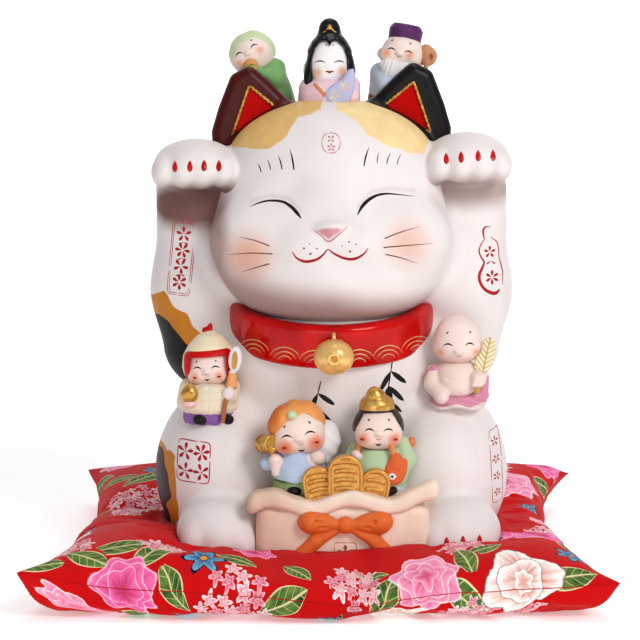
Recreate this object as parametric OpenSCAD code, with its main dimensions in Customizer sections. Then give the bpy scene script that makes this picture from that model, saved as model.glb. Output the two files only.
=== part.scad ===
// Ceramic lucky cat with both paws raised, seven small lucky figures and a
// money bag, hollow as a coin bank, sitting on a padded cushion.
// Millimetres, +Z up, the cat faces -Y, origin at the middle of the cushion's
// underside. Sizes of the cat are measured from the middle of its foot plane.

/* [Cushion] */
// Width between the left and right corner tips
cushion_w = 276; // [256:1:300]
// Depth between the front and back corner tips
cushion_d = 272; // [256:1:300]
// Height of the crest that stands around the figurine
cushion_crest = 22; // [18:0.5:26]
// Height of the corner tips
corner_h = 25; // [18:0.5:30]
// Height of the seat that the figurine presses into the cushion
seat_h = 10; // [8:0.5:12]

/* [Clay shell] */
// Thickness of the fired clay walls
wall = 5; // [4:0.5:6]
// Distance from the left to the right face of the cheeks
head_w = 132; // [126:1:136]
// Height of the middle of the cheeks above the feet
cheek_z = 162; // [160:1:164]
// Distance between the middles of the two forearms
arm_gap = 143; // [140:1:146]

/* [Coin bank] */
// Width of the coin slot in the back
slot_w = 36; // [28:1:40]
// Height of the coin slot
slot_h = 4.8; // [4.6:0.1:6]
// Height of the middle of the slot above the feet
slot_z = 95; // [88:1:98]
// Radius of the hole in the base disc
stopper_r = 12; // [9:0.5:15]
// Gap around the stopper's plug
stopper_gap = 0.08; // [0.05:0.01:0.1]
// Height of the hollow under the base disc
foot_hollow_h = 14; // [13:0.5:16]
// Radius of the hollow under the base disc
foot_hollow_r = 40; // [34:1:42]

/* [Collar and bell] */
// Radius of the neck
neck_r = 49; // [47:0.5:50]
// Height of the collar band
collar_h = 20; // [16:0.5:22]
// Radius of the bell
bell_r = 9.6; // [8:0.1:11]

/* [Money bag] */
// Width of the bag below its mouth
bag_w = 87.5; // [80:0.5:92]
// Width of the bag's wavy mouth
mouth_w = 94.6; // [92:0.5:100]
// Height of the bag below its mouth
bag_h = 33; // [31:0.5:35]
// Width of the middle coin
coin_w = 17.6; // [15:0.2:20]

/* [Hidden] */

$fn = 24;
fine = 0.01;
sides = [-1, 1];
big = 400;

// ---- places of the larger pieces ----
cat_at = [6, 7, seat_h];
clay_white = "ivory";
neck_at = [0, -6, 112];
neck_hole_r = 36;
collar_tilt = 12;
collar_at = [0, -6, 119.5];
collar_t = 8;
floor_at = [0, 4];
bag_x = 5.5;
bag_front_y = -88;
bag_back_y = -46;
deck_z = bag_h + 5;
arm_x = arm_gap / 2;

// Rounded masses of the clay shell, each [middle, half sizes]
trunk_masses = [
    [[0, 4, 56], [68, 58, 74]],
    [[0, 0, 98], [70, 48, 34]],
    [neck_at, [neck_r, neck_r, 24]]];
leg_masses = [
    for (s = sides) [[56 * s, -16, 40], [37, 50, 46]],
    for (s = sides) [[46 * s, 24, 38], [42, 42, 46]]];
head_masses = [
    [[0, -10, cheek_z], [head_w / 2, 60, 42]],
    [[0, -6, cheek_z + 28], [head_w / 2 - 10, 52, 44]]];
muzzle_masses = [for (s = sides) [[11 * s, -60, cheek_z + 1], [14, 12, 10]]];

// ---- helpers ----
module on_seat() {
    translate(cat_at) children();
}

// An egg-shaped mass with its middle at a point
module pebble(at, size, turn = [0, 0, 0]) {
    translate(at) rotate(turn) hull() scale(size) sphere(1);
}

module masses(list, grow = 0) {
    for (m = list) pebble(m[0], m[1] + grow * [1, 1, 1]);
}

// A bar with round ends, thick at one end and thin at the other
module limb(from, to, r1, r2) {
    hull() {
        translate(from) sphere(r1);
        translate(to) sphere(r2);
    }
}

// The flat pad of clay that the figurine sits on
module base_pad(grow = 0) {
    hull() for (p = [[-38, -8], [38, -8], [0, 22]])
        translate([p[0], p[1], 0]) cylinder(r = 34 + grow, h = 12);
}

module between_heights(low, high) {
    translate([-big / 2, -big / 2, low]) cube([big, big, high - low]);
}

// A small figure stands at a point of the cat, leaning to one side
module stand(place) {
    on_seat() translate(place[0]) rotate([0, place[1], 0]) children();
}

// A turned solid with rings of [radius, height] from the bottom up
module turned(rings) {
    rotate_extrude($fn = 48)
        polygon(concat([[0, rings[0][1]]], rings, [[0, rings[len(rings) - 1][1]]]));
}

// ---- cushion ----
steps = 20;
edge_power = 5;
side_pull = 0.11;
seam_mid_h = 13;
seat_gap = 0.3;

function pulled(t) = 1 - side_pull * (1 - t * t);
function side_xy(u, v) = [u * cushion_w / 2 * pulled(v), v * cushion_d / 2 * pulled(u)];
function seam_h(u, v) = seam_mid_h + (corner_h - seam_mid_h) * pow(u * v, 4);
function fullness(u, v) = (1 - pow(abs(u), edge_power)) * (1 - pow(abs(v), edge_power));
function top_h(u, v) =
    let (seam = seam_h(u, v)) seam + (cushion_crest - seam) * pow(fullness(u, v), 0.5);
function under_h(u, v) =
    let (edge = max(abs(u), abs(v)), t = max(0, (edge - 0.8) / 0.2))
    (seam_h(u, v) - 2) * t * t;

module plump_cushion() {
    grid = [for (i = [0 : steps]) for (j = [0 : steps]) [2 * i / steps - 1, 2 * j / steps - 1]];
    count = len(grid);
    top = [for (g = grid) concat(side_xy(g[0], g[1]), [top_h(g[0], g[1])])];
    under = [for (g = grid) concat(side_xy(g[0], g[1]), [under_h(g[0], g[1])])];
    function at(i, j) = i * (steps + 1) + j;
    rim = concat(
        [for (i = [0 : steps - 1]) at(i, 0)], [for (j = [0 : steps - 1]) at(steps, j)],
        [for (i = [steps : -1 : 1]) at(i, steps)], [for (j = [steps : -1 : 1]) at(0, j)]);
    cells = [for (i = [0 : steps - 1]) for (j = [0 : steps - 1]) [i, j]];
    polyhedron(
        points = concat(top, under),
        faces = concat(
            [for (c = cells) [at(c[0], c[1]), at(c[0], c[1] + 1), at(c[0] + 1, c[1] + 1)]],
            [for (c = cells) [at(c[0], c[1]), at(c[0] + 1, c[1] + 1), at(c[0] + 1, c[1])]],
            [for (c = cells) count * [1, 1, 1]
                + [at(c[0], c[1]), at(c[0] + 1, c[1] + 1), at(c[0], c[1] + 1)]],
            [for (c = cells) count * [1, 1, 1]
                + [at(c[0], c[1]), at(c[0] + 1, c[1]), at(c[0] + 1, c[1] + 1)]],
            [for (k = [0 : len(rim) - 1]) let (a = rim[k], b = rim[(k + 1) % len(rim)])
                [a, b, b + count]],
            [for (k = [0 : len(rim) - 1]) let (a = rim[k], b = rim[(k + 1) % len(rim)])
                [a, b + count, a + count]]));
}

// The hollow that the figurine presses into the cushion
module cushion() {
    color("firebrick") difference() {
        plump_cushion();
        on_seat() intersection() {
            union() {
                masses(trunk_masses, seat_gap);
                masses(leg_masses, seat_gap);
                base_pad(seat_gap);
                for (s = sides) foot_shape(s, seat_gap);
                tail_shape(seat_gap);
                bag_block(seat_gap);
                translate([bag_x - 30, bag_front_y - 8, -1]) cube([60, 12, 30]);
            }
            between_heights(-0.1, big);
        }
    }
}

// ---- clay shell ----
module neck_hole() {
    translate([neck_at[0], neck_at[1], 96]) cylinder(r = neck_hole_r, h = 46, $fn = 36);
}

module body_shell() {
    color(clay_white)
    on_seat() difference() {
        intersection() {
            union() {
                masses(trunk_masses);
                masses(leg_masses);
                base_pad();
            }
            between_heights(0, 128);
        }
        intersection() {
            union() {
                masses(trunk_masses, -wall, $fn = 20);
                masses(leg_masses, -wall, $fn = 16);
            }
            between_heights(foot_hollow_h + wall, big);
        }
        neck_hole();
        translate([floor_at[0], floor_at[1], -1])
            cylinder(r = foot_hollow_r, h = foot_hollow_h + wall + 2, $fn = 48);
        translate([-slot_w / 2, 20, slot_z - slot_h / 2]) cube([slot_w, 60, slot_h]);
    }
}

module base_disc() {
    color(clay_white)
    on_seat() translate([floor_at[0], floor_at[1], foot_hollow_h]) difference() {
        cylinder(r = foot_hollow_r + 1, h = wall, $fn = 96);
        translate([0, 0, -1]) cylinder(r = stopper_r, h = wall + 2, $fn = 96);
    }
}

module bottom_stopper() {
    plug = stopper_r - stopper_gap;
    flange_h = 2.5;
    color("dimgray")
    on_seat() translate([floor_at[0], floor_at[1], foot_hollow_h])
        turned([[plug + 1, -flange_h], [plug + 3, -flange_h + 0.8], [plug + 3, -0.05],
                [plug, -0.05], [plug, wall + 0.8], [plug - 1.2, wall + 2]]);
}

module head_shell() {
    color(clay_white)
    on_seat() difference() {
        union() {
            hull() masses(head_masses);
            masses(muzzle_masses, $fn = 16);
            pebble([0, -68, cheek_z + 8], [6, 4.5, 4], $fn = 16);
        }
        hull() masses(head_masses, -wall, $fn = 20);
        neck_hole();
    }
}

module arm(s) {
    shoulder = [64 * s, 4, 106];
    elbow = [(arm_x - 2) * s, 2, 134];
    wrist = [(arm_x + 0.5) * s, 0, 188];
    color(clay_white)
    on_seat() {
        hull() {
            pebble(shoulder, [25, 26, 27]);
            pebble(elbow, [23, 26, 30]);
        }
        hull() {
            pebble(elbow, [23, 26, 30]);
            pebble(wrist, [21, 24, 22]);
        }
    }
}

// A paw bent forward over the wrist, with four toes
module paw(s, paw_z) {
    paw_x = (arm_x - 0.5) * s;
    color(clay_white)
    on_seat() {
        pebble([paw_x, -14, paw_z], [22, 29, 16]);
        for (toe = [-1.5 : 1 : 1.5])
            pebble([paw_x + toe * 10, -34 + abs(toe) * 2, paw_z - 4], [6.6, 11, 9], $fn = 16);
    }
}

ear_corners = [
    [[-57, 3, 211], 7], [[-26, 1, 226], 7], [[-49, -1, 246], 6]];

// The ear on the +X side is the mirror image, a little taller and further out
module ear(s, corners, tint, shift = [0, 0, 0]) {
    color(tint)
    on_seat() translate(shift) hull() for (c = corners)
        translate([-s * c[0][0], c[0][1], c[0][2]]) sphere(c[1], $fn = 16);
}

inner_corners = [
    [[-51, -4.6, 217], 2], [[-30, -6.2, 228], 2], [[-47, -6, 242], 2]];

module foot_shape(s, grow = 0) {
    foot_x = s > 0 ? 64 : -57;
    more = grow * [1, 1, 1];
    pebble([foot_x, -64, 17], [22, 28, 18] + more, $fn = 20);
    for (toe = sides * 0.5)
        pebble([foot_x + toe * 17, -83, 13], [8, 9, 11] + more, $fn = 16);
}

module foot(s) {
    color(clay_white) on_seat() intersection() {
        foot_shape(s);
        between_heights(0, big);
    }
}

module tail_shape(grow = 0) {
    more = grow * [1, 1, 1];
    pebble([14, 68, 16], [20, 15, 15] + more, $fn = 20);
    pebble([30, 60, 20], [16, 18, 14] + more, $fn = 20);
}

module tail() {
    color("saddlebrown") on_seat() tail_shape();
}

module collar() {
    inner = neck_r - 2.5;
    color("crimson")
    on_seat() translate(collar_at) rotate([collar_tilt, 0, 0])
        turned_ring(inner, collar_t, collar_h);
}

module turned_ring(inner, thick, high) {
    soft = 2.5;
    rotate_extrude($fn = 96) translate([inner + thick / 2, 0]) polygon([
        [-thick / 2, -high / 2 + soft], [-thick / 2 + soft, -high / 2],
        [thick / 2 - soft, -high / 2 + 0.6], [thick / 2, -high / 2 + soft + 1],
        [thick / 2, high / 2 - soft - 1], [thick / 2 - soft, high / 2 - 0.6],
        [-thick / 2 + soft, high / 2], [-thick / 2, high / 2 - soft]]);
}

module bell() {
    color("gold")
    on_seat() translate([1, -65.5, 106]) difference() {
        union() {
            sphere(bell_r, $fn = 64);
            translate([0, 3, bell_r - 1]) rotate([0, 90, 0])
                rotate_extrude($fn = 32) translate([2.6, 0]) circle(1, $fn = 16);
        }
        translate([0, -bell_r, -3]) rotate([90, 0, 0]) cylinder(r = 2, h = 5, center = true);
        translate([0, -bell_r, -6]) cube([1.2, 8, 5], center = true);
    }
}

// ---- money bag ----
mouth_wave = 2.6;
wave_steps = 24;
function wave(t) = mouth_wave * (cos((t - 0.54) * 860) + 1.2 * pow(t, 4));

module bag_block(grow = 0) {
    round_r = 9;
    x = bag_w / 2 - round_r;
    hull() for (p = [[-x, bag_front_y + round_r], [x, bag_front_y + round_r],
                     [-x, bag_back_y - round_r], [x, bag_back_y - round_r]])
        translate([bag_x + p[0], p[1], 0])
            cylinder(r = round_r + grow, h = bag_h, $fn = 32);
}

module money_bag() {
    color("bisque") on_seat() bag_block();
}

module bag_mouth() {
    half = mouth_w / 2;
    top = [for (i = [0 : wave_steps]) let (t = i / wave_steps)
        [half * (2 * t - 1), deck_z + 0.5 + wave(t)]];
    low = [for (i = [wave_steps : -1 : 0]) let (t = i / wave_steps)
        [half * (2 * t - 1), bag_h + 0.5 + wave(t)]];
    color("peachpuff")
    on_seat() translate([bag_x, 0, 0]) {
        translate([0, bag_front_y + 7, 0]) rotate([90, 0, 0])
            linear_extrude(height = 10) polygon(concat(low, top));
        translate([-half + 2, bag_front_y + 6.9, bag_h + fine])
            cube([mouth_w - 4, bag_back_y - bag_front_y - 10, deck_z - bag_h]);
    }
}

module bag_bow() {
    knot = [6.6, bag_front_y - 2.6, 25];
    color("chocolate")
    on_seat() translate(knot) {
        pebble([0, 0, 0], [4.2, 3.6, 4], $fn = 16);
        for (s = sides) {
            pebble([13.5 * s, 0.4, 0.5], [10.5, 3, 5.2], [0, -6 * s, 0], $fn = 16);
            limb([3 * s, 0.6, -2], [14 * s, 0.8, -9.5], 2, 2.8, $fn = 12);
            limb([14 * s, 0.8, -9.5], [24 * s, 0.8, -20.5], 2.8, 3.2, $fn = 12);
        }
    }
}

// An oval coin standing on its edge, with a raised rim and cross bars
module oval_coin(at, wide, high, turn) {
    thick = 5;
    color("goldenrod")
    on_seat() translate(at) rotate([0, turn, 0]) translate([0, thick / 2, 0]) rotate([90, 0, 0]) {
        difference() {
            coin_outline(wide, high, thick);
            translate([0, 1.6, thick - 1.2]) coin_outline(wide - 4, high - 3.6, thick);
        }
        for (k = [1 : 4])
            translate([-wide * 0.24, k * high / 5.6, thick - 1.5]) cube([wide * 0.48, 1.2, 1.1]);
    }
}

module coin_outline(wide, high, thick) {
    linear_extrude(height = thick) {
        translate([0, high - wide / 2]) circle(wide / 2, $fn = 48);
        translate([-wide / 2, 0]) square([wide, high - wide / 2]);
    }
}

coin_y = bag_front_y + 7.2;
module left_coin() oval_coin([-7.2, coin_y + 1.4, deck_z - 1], coin_w * 0.9, 17, -9);
module middle_coin() oval_coin([6.7, coin_y - 3.6, deck_z], coin_w, 21, 0);
module right_coin() oval_coin([20.2, coin_y + 1.4, deck_z - 1], coin_w * 0.9, 16, 9);

// ---- small figures: [place on the cat, lean in degrees] ----
peach_elder_at = [[-27, 15, 227], -25];
lute_lady_at = [[-1, -2, 230], 0];
bearded_elder_at = [[32, 15, 226], 10];
guardian_at = [[-63, -42, 71], 0];
fan_monk_at = [[65, -40, 75.5], 0];
mallet_man_at = [[-17, -66, deck_z - 0.3], 0];
fisher_at = [[23.5, -66, deck_z - 0.3], 0];

module peach_elder_robe() {
    color("darkseagreen") stand(peach_elder_at)
        turned([[9, 0], [10.5, 6], [11.8, 12], [12.3, 18], [11, 25], [8.5, 29]]);
}

module peach_elder_head() {
    color("mistyrose") stand(peach_elder_at) translate([0, -1, 36.5]) sphere(12, $fn = 48);
}

module peach_elder_hood() {
    color("palegreen") stand(peach_elder_at) difference() {
        translate([0, 1, 37.5]) sphere(13.5, $fn = 48);
        translate([0, -1, 36.5]) sphere(12.05, $fn = 48);
        translate([-20, -24, 10]) cube([40, 20, 33.5]);
        translate([-20, -20, 10]) cube([40, 40, 19.2]);
    }
}

module peach() {
    color("orange") stand(peach_elder_at) translate([-3.4, -13.2, 29.8]) sphere(3.9, $fn = 32);
}

module lute_lady_kimono() {
    color("pink") stand(lute_lady_at)
        turned([[15, 0], [16, 3], [15.8, 8], [13.5, 13], [9, 17]]);
}

module lute_lady_face() {
    color("white") stand(lute_lady_at) pebble([0, -3.2, 24.5], [10.8, 9.4, 13]);
}

module lute_lady_hair() {
    color("black") stand(lute_lady_at) difference() {
        union() {
            hull() {
                pebble([0, 3, 19], [13.8, 9.5, 8]);
                pebble([0, 0, 37], [5.5, 5.5, 5]);
            }
            pebble([0, 0.5, 42.6], [5.1, 4.6, 5.1], $fn = 16);
        }
        pebble([0, -3.2, 24.5], [10.85, 9.45, 13.05]);
        translate([-9, -14, 12]) cube([18, 9, 20]);
    }
}

module hair_ornament() {
    color("gold") stand(lute_lady_at) translate([0, -4.4, 40]) rotate([90, 0, 0])
        linear_extrude(height = 1.4) polygon([[-4, 0], [4, 0], [1.4, 1.6], [0, 4], [-1.4, 1.6]]);
}

module lute() {
    color("lavender") stand(lute_lady_at) translate([6.5, -14.4, 10]) rotate([0, 28, 0]) {
        pebble([0, 0, -1], [7.5, 2.4, 8.2]);
        limb([0, 0, 4], [0, 1.5, 15], 2.4, 1.7, $fn = 16);
    }
}

module bearded_elder_robe() {
    color("lightsteelblue") stand(bearded_elder_at)
        turned([[13, 0], [13.4, 6], [13.6, 12], [14, 18], [12, 24], [8, 27.5]]);
}

module bearded_elder_head() {
    color("mistyrose") stand(bearded_elder_at) translate([0, -1, 33.5]) sphere(11.3, $fn = 48);
}

module bearded_elder_cap() {
    color("indigo") stand(bearded_elder_at) difference() {
        translate([0, 0.4, 0]) turned([[8.2, 39], [8.5, 40], [8.6, 47.4], [7.4, 49.6]]);
        translate([0, -1, 33.5]) sphere(11.35, $fn = 48);
    }
}

module beard() {
    color("white") stand(bearded_elder_at) pebble([0, -9.6, 25.5], [7.6, 4.6, 8]);
}

module staff() {
    color("peru") stand(bearded_elder_at) {
        translate([13.4, -4, 8]) cylinder(r = 1.3, h = 22, $fn = 24);
        pebble([14, -3, 34], [4, 3.6, 6.2], $fn = 16);
    }
}

module guardian_skirt() {
    color("rebeccapurple") stand(guardian_at) {
        turned([[12.6, -1], [13.4, 1], [13.2, 6.5]]);
        for (x = [-4.6, 9.5]) pebble([x, -12, 1.4], [3.4, 3.4, 2.6], $fn = 12);
    }
}

module guardian_armour() {
    color("cornsilk") stand(guardian_at) {
        turned([[13.2, 5.5], [14.2, 7], [14, 14], [10.5, 20], [8, 22]]);
        for (s = sides) limb([10.5 * s, 0, 17.5], [12 * s, -5.5, 12], 4, 4.4, $fn = 16);
    }
}

module guardian_head() {
    color("mistyrose") stand(guardian_at) translate([0, -1, 28.4]) sphere(11, $fn = 48);
}

module guardian_helmet() {
    color("khaki") stand(guardian_at) difference() {
        translate([0, 0.5, 0]) {
            turned([[12.4, 24], [12.9, 29], [12.2, 34], [9.4, 40], [5, 45], [1.8, 47]]);
            translate([-0.4, 0, 48]) sphere(2.6, $fn = 32);
        }
        translate([0, -1, 28.4]) sphere(11.05, $fn = 48);
        translate([-10, -20, 10]) cube([20, 16, 25]);
        translate([-20, -20, 10]) cube([40, 40, 12]);
    }
}

module pagoda() {
    color("gold") stand(guardian_at) translate([-9.5, -14.2, 12.4])
        turned([[1.6, 0], [3.6, 1.6], [3.8, 4], [2.6, 6.8], [0.8, 9]]);
}

module spear() {
    color("peru") stand(guardian_at) {
        limb([7.4, -15.6, 2], [10.4, -14.2, 22], 1.2, 1.2, $fn = 12);
        pebble([12.6, -12.6, 33.5], [2.8, 1.8, 7], [0, 8, 0], $fn = 16);
        pebble([11.6, -13.2, 24.4], [2.8, 2.6, 4.4], $fn = 12);
    }
}

module fan_monk_robe() {
    color("palevioletred") stand(fan_monk_at)
        turned([[13.4, -1.5], [14.4, 1], [14.4, 6], [12.6, 9.4]]);
}

module fan_monk_belly() {
    color("mistyrose") stand(fan_monk_at) {
        pebble([0, -1, 15.6], [12.6, 11, 11.6]);
        limb([-12, 0, 20.5], [-11, -7, 9], 3.8, 4, $fn = 16);
        limb([11.6, 0, 20.5], [10.4, -8.6, 17], 3.8, 4.2, $fn = 16);
    }
}

module fan_monk_head() {
    color("mistyrose") stand(fan_monk_at) translate([0, -0.5, 36.6]) sphere(12.2, $fn = 48);
}

module leaf_fan() {
    color("wheat") stand(fan_monk_at) {
        translate([14.6, -6.6, 29]) pebble([0, 0, 0], [6, 1.8, 9.8], [0, 14, 0]);
        limb([12.4, -8.4, 20], [9, -11.8, 11.5], 1.3, 1.5, $fn = 12);
    }
}

module mallet_man_clothes() {
    color("lightblue") stand(mallet_man_at) {
        turned([[11.4, 0], [12.2, 1.5], [12, 6.2], [13, 8.4], [12.6, 14], [8, 20.5]]);
        pebble([-1.6, -11.6, 2.2], [3.2, 3, 2.2], $fn = 12);
        limb([-10, 0, 17], [-12, -6, 17.5], 3.6, 3.9, $fn = 16);
        limb([10, 0, 17], [9.6, -6, 18.5], 3.6, 3.9, $fn = 16);
    }
}

module mallet_man_head() {
    color("mistyrose") stand(mallet_man_at) pebble([0, -2, 31], [13.6, 12, 11.6]);
}

module mallet_man_cap() {
    color("darkorange") stand(mallet_man_at) difference() {
        union() {
            pebble([0, 1, 34.5], [13.8, 12.6, 12]);
            translate([-2.6, -10.6, 41.6]) sphere(2.5, $fn = 24);
        }
        pebble([0, -2, 31], [13.65, 12.05, 11.65]);
        translate([-20, -24, 12]) cube([40, 18, 26]);
        translate([-20, -24, 12]) cube([40, 48, 18]);
    }
}

module mallet() {
    color("gold") stand(mallet_man_at) translate([-16.4, -7, 26.5]) {
        rotate([90, 0, 20]) cylinder(r = 4.6, h = 9, center = true, $fn = 40);
        translate([0, 0, -8]) cylinder(r = 1.3, h = 6, $fn = 24);
    }
}

module sack() {
    color("whitesmoke") stand(mallet_man_at) hull() {
        pebble([14.5, 5, 24.5], [6.8, 8.4, 11], $fn = 20);
        pebble([10.5, 2, 18], [5, 5, 5], $fn = 12);
    }
}

module fisher_robe() {
    color("darkseagreen") stand(fisher_at) {
        turned([[12.2, 0], [14, 2.5], [15.6, 8], [14.6, 15], [9, 21.5]]);
        for (s = sides) limb([12 * s, 1.5, 15.5], [12 * s, -4, 9], 4.4, 4.6, $fn = 16);
        pebble([6.4, -12.4, 2.2], [3.4, 3, 2.2], $fn = 12);
    }
}

module fisher_head() {
    color("mistyrose") stand(fisher_at) translate([0, -1.4, 31]) sphere(12.4, $fn = 48);
}

module fisher_cap() {
    color("goldenrod") stand(fisher_at) difference() {
        translate([0, 1, 0]) {
            turned([[12.2, 30], [12.6, 33], [11, 39], [8.6, 43.4], [7.9, 44.4],
                    [7.2, 46.4], [4.6, 50], [2, 51.8]]);
        }
        translate([0, -1.4, 31]) sphere(12.45, $fn = 48);
        translate([-20, -24, 12]) cube([40, 17, 29.5]);
        translate([-20, -20, 12]) cube([40, 40, 16]);
    }
}

module fish() {
    color("orangered") stand(fisher_at) {
        pebble([8.9, -13.6, 11.5], [5.6, 3.2, 6.6], [0, 14, 0], $fn = 20);
        pebble([7, -12.6, 19.5], [2.2, 2, 3.6], [0, -10, 0], $fn = 12);
    }
}

// ---- output ----
cushion();
body_shell();
base_disc();
bottom_stopper();
head_shell();
arm(-1);  // left_arm
arm(1);  // right_arm
paw(-1, 201);  // left_paw
paw(1, 204.5);  // right_paw
ear(-1, ear_corners, "maroon");  // left_ear
ear(1, ear_corners, "black", [-1, 0, 1.5]);  // right_ear
ear(-1, inner_corners, "red");  // left_ear_inner
ear(1, inner_corners, "red", [-1, 0, 1.5]);  // right_ear_inner
foot(-1);  // left_foot
foot(1);  // right_foot
tail();
collar();
bell();
money_bag();
bag_mouth();
bag_bow();
left_coin();
middle_coin();
right_coin();
peach_elder_robe();
peach_elder_head();
peach_elder_hood();
peach();
lute_lady_kimono();
lute_lady_face();
lute_lady_hair();
hair_ornament();
lute();
bearded_elder_robe();
bearded_elder_head();
bearded_elder_cap();
beard();
staff();
guardian_skirt();
guardian_armour();
guardian_head();
guardian_helmet();
pagoda();
spear();
fan_monk_robe();
fan_monk_belly();
fan_monk_head();
leaf_fan();
mallet_man_clothes();
mallet_man_head();
mallet_man_cap();
mallet();
sack();
fisher_robe();
fisher_head();
fisher_cap();
fish();
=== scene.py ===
import math

import bpy
import numpy as np
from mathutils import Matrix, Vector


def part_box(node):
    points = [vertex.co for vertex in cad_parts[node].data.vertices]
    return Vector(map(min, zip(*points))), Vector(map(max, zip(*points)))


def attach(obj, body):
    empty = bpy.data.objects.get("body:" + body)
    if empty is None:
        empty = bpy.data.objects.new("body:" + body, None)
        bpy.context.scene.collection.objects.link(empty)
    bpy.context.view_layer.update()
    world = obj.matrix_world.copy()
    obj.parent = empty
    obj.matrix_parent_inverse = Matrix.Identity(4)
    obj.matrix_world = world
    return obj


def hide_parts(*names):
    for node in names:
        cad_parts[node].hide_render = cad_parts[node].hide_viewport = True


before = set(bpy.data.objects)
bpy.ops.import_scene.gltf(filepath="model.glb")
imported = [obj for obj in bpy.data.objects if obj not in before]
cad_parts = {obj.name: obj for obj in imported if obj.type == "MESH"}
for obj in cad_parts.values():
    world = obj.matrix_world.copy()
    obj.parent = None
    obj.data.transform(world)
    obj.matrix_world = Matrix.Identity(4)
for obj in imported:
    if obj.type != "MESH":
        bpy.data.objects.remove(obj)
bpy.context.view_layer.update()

import openvdb
from mathutils import Vector

MM = 0.001

# The figurine is sculpted in millimetres from the middle of its foot plane, as the CAD is.
body_low, body_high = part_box("body_shell")
disc_low, disc_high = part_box("base_disc")
DISC_BACK = 4
CAT_AT = np.array([
    (body_low.x + body_high.x) / 2 / MM,
    (disc_low.y + disc_high.y) / 2 / MM - DISC_BACK,
    body_low.z / MM])


# ---------------------------------------------------------------- camera, light, floor
def rgb(red, green, blue):
    """A colour given in screen values from 0 to 255, as the shader wants it."""
    return tuple((c / 255) ** 2.2 for c in (red, green, blue)) + (1.0,)


def darker(colour, part):
    """The same colour at part of its strength."""
    return tuple(c * part for c in colour[:3]) + (1.0,)


def look_from(obj, place, target):
    obj.location = place
    obj.rotation_euler = (Vector(target) - Vector(place)).to_track_quat("-Z", "Y").to_euler()


def add_camera():
    distance, elevation, target = 1.14, math.radians(6.2), Vector((0, 0, 0.1285))
    data = bpy.data.cameras.new("camera")
    data.lens = 120.7
    camera = bpy.data.objects.new("camera", data)
    bpy.context.collection.objects.link(camera)
    away = Vector((0, -math.cos(elevation), math.sin(elevation)))
    look_from(camera, target + away * distance, target)
    bpy.context.scene.camera = camera


def add_light(name, place, size, power, colour=(1, 1, 1)):
    data = bpy.data.lights.new(name, "AREA")
    data.size, data.energy, data.color = size, power, colour
    light = bpy.data.objects.new(name, data)
    bpy.context.collection.objects.link(light)
    look_from(light, Vector(place), Vector((0, 0, 0.13)))


def wall(name, corners, colour, glow=0.0):
    """A plain pale sheet of the studio."""
    mesh = bpy.data.meshes.new(name)
    mesh.from_pydata(corners, [], [(0, 1, 2, 3)])
    obj = bpy.data.objects.new(name, mesh)
    bpy.context.collection.objects.link(obj)
    paint = Paint(name, 0.75, Emission_Color=colour, Emission_Strength=glow)
    paint.finish(paint.mix(paint.noise(400), colour, darker(colour, 0.97)))
    mesh.materials.append(paint.material)


def add_studio():
    add_light("key", (0.7, -1.0, 0.85), 0.5, 9.3)
    add_light("fill", (-0.25, -1.2, 0.16), 0.6, 2.2, (1, 0.97, 0.95))
    add_light("top", (0.1, 0.1, 1.3), 0.6, 3)
    world = bpy.data.worlds.new("studio")
    world.use_nodes = True
    world.node_tree.nodes["Background"].inputs[0].default_value = (1, 0.985, 0.985, 1)
    world.node_tree.nodes["Background"].inputs[1].default_value = 0.36
    bpy.context.scene.world = world
    bpy.context.scene.view_settings.view_transform = "Standard"
    half = 3.0
    wall("floor", [(-half, -half, 0), (half, -half, 0), (half, half, 0), (-half, half, 0)],
         rgb(248, 248, 248), 0.36)
    wall("backdrop", [(-half, half, 0), (half, half, 0), (half, half, half), (-half, half, half)],
         rgb(252, 252, 252), 0.8)


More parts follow.
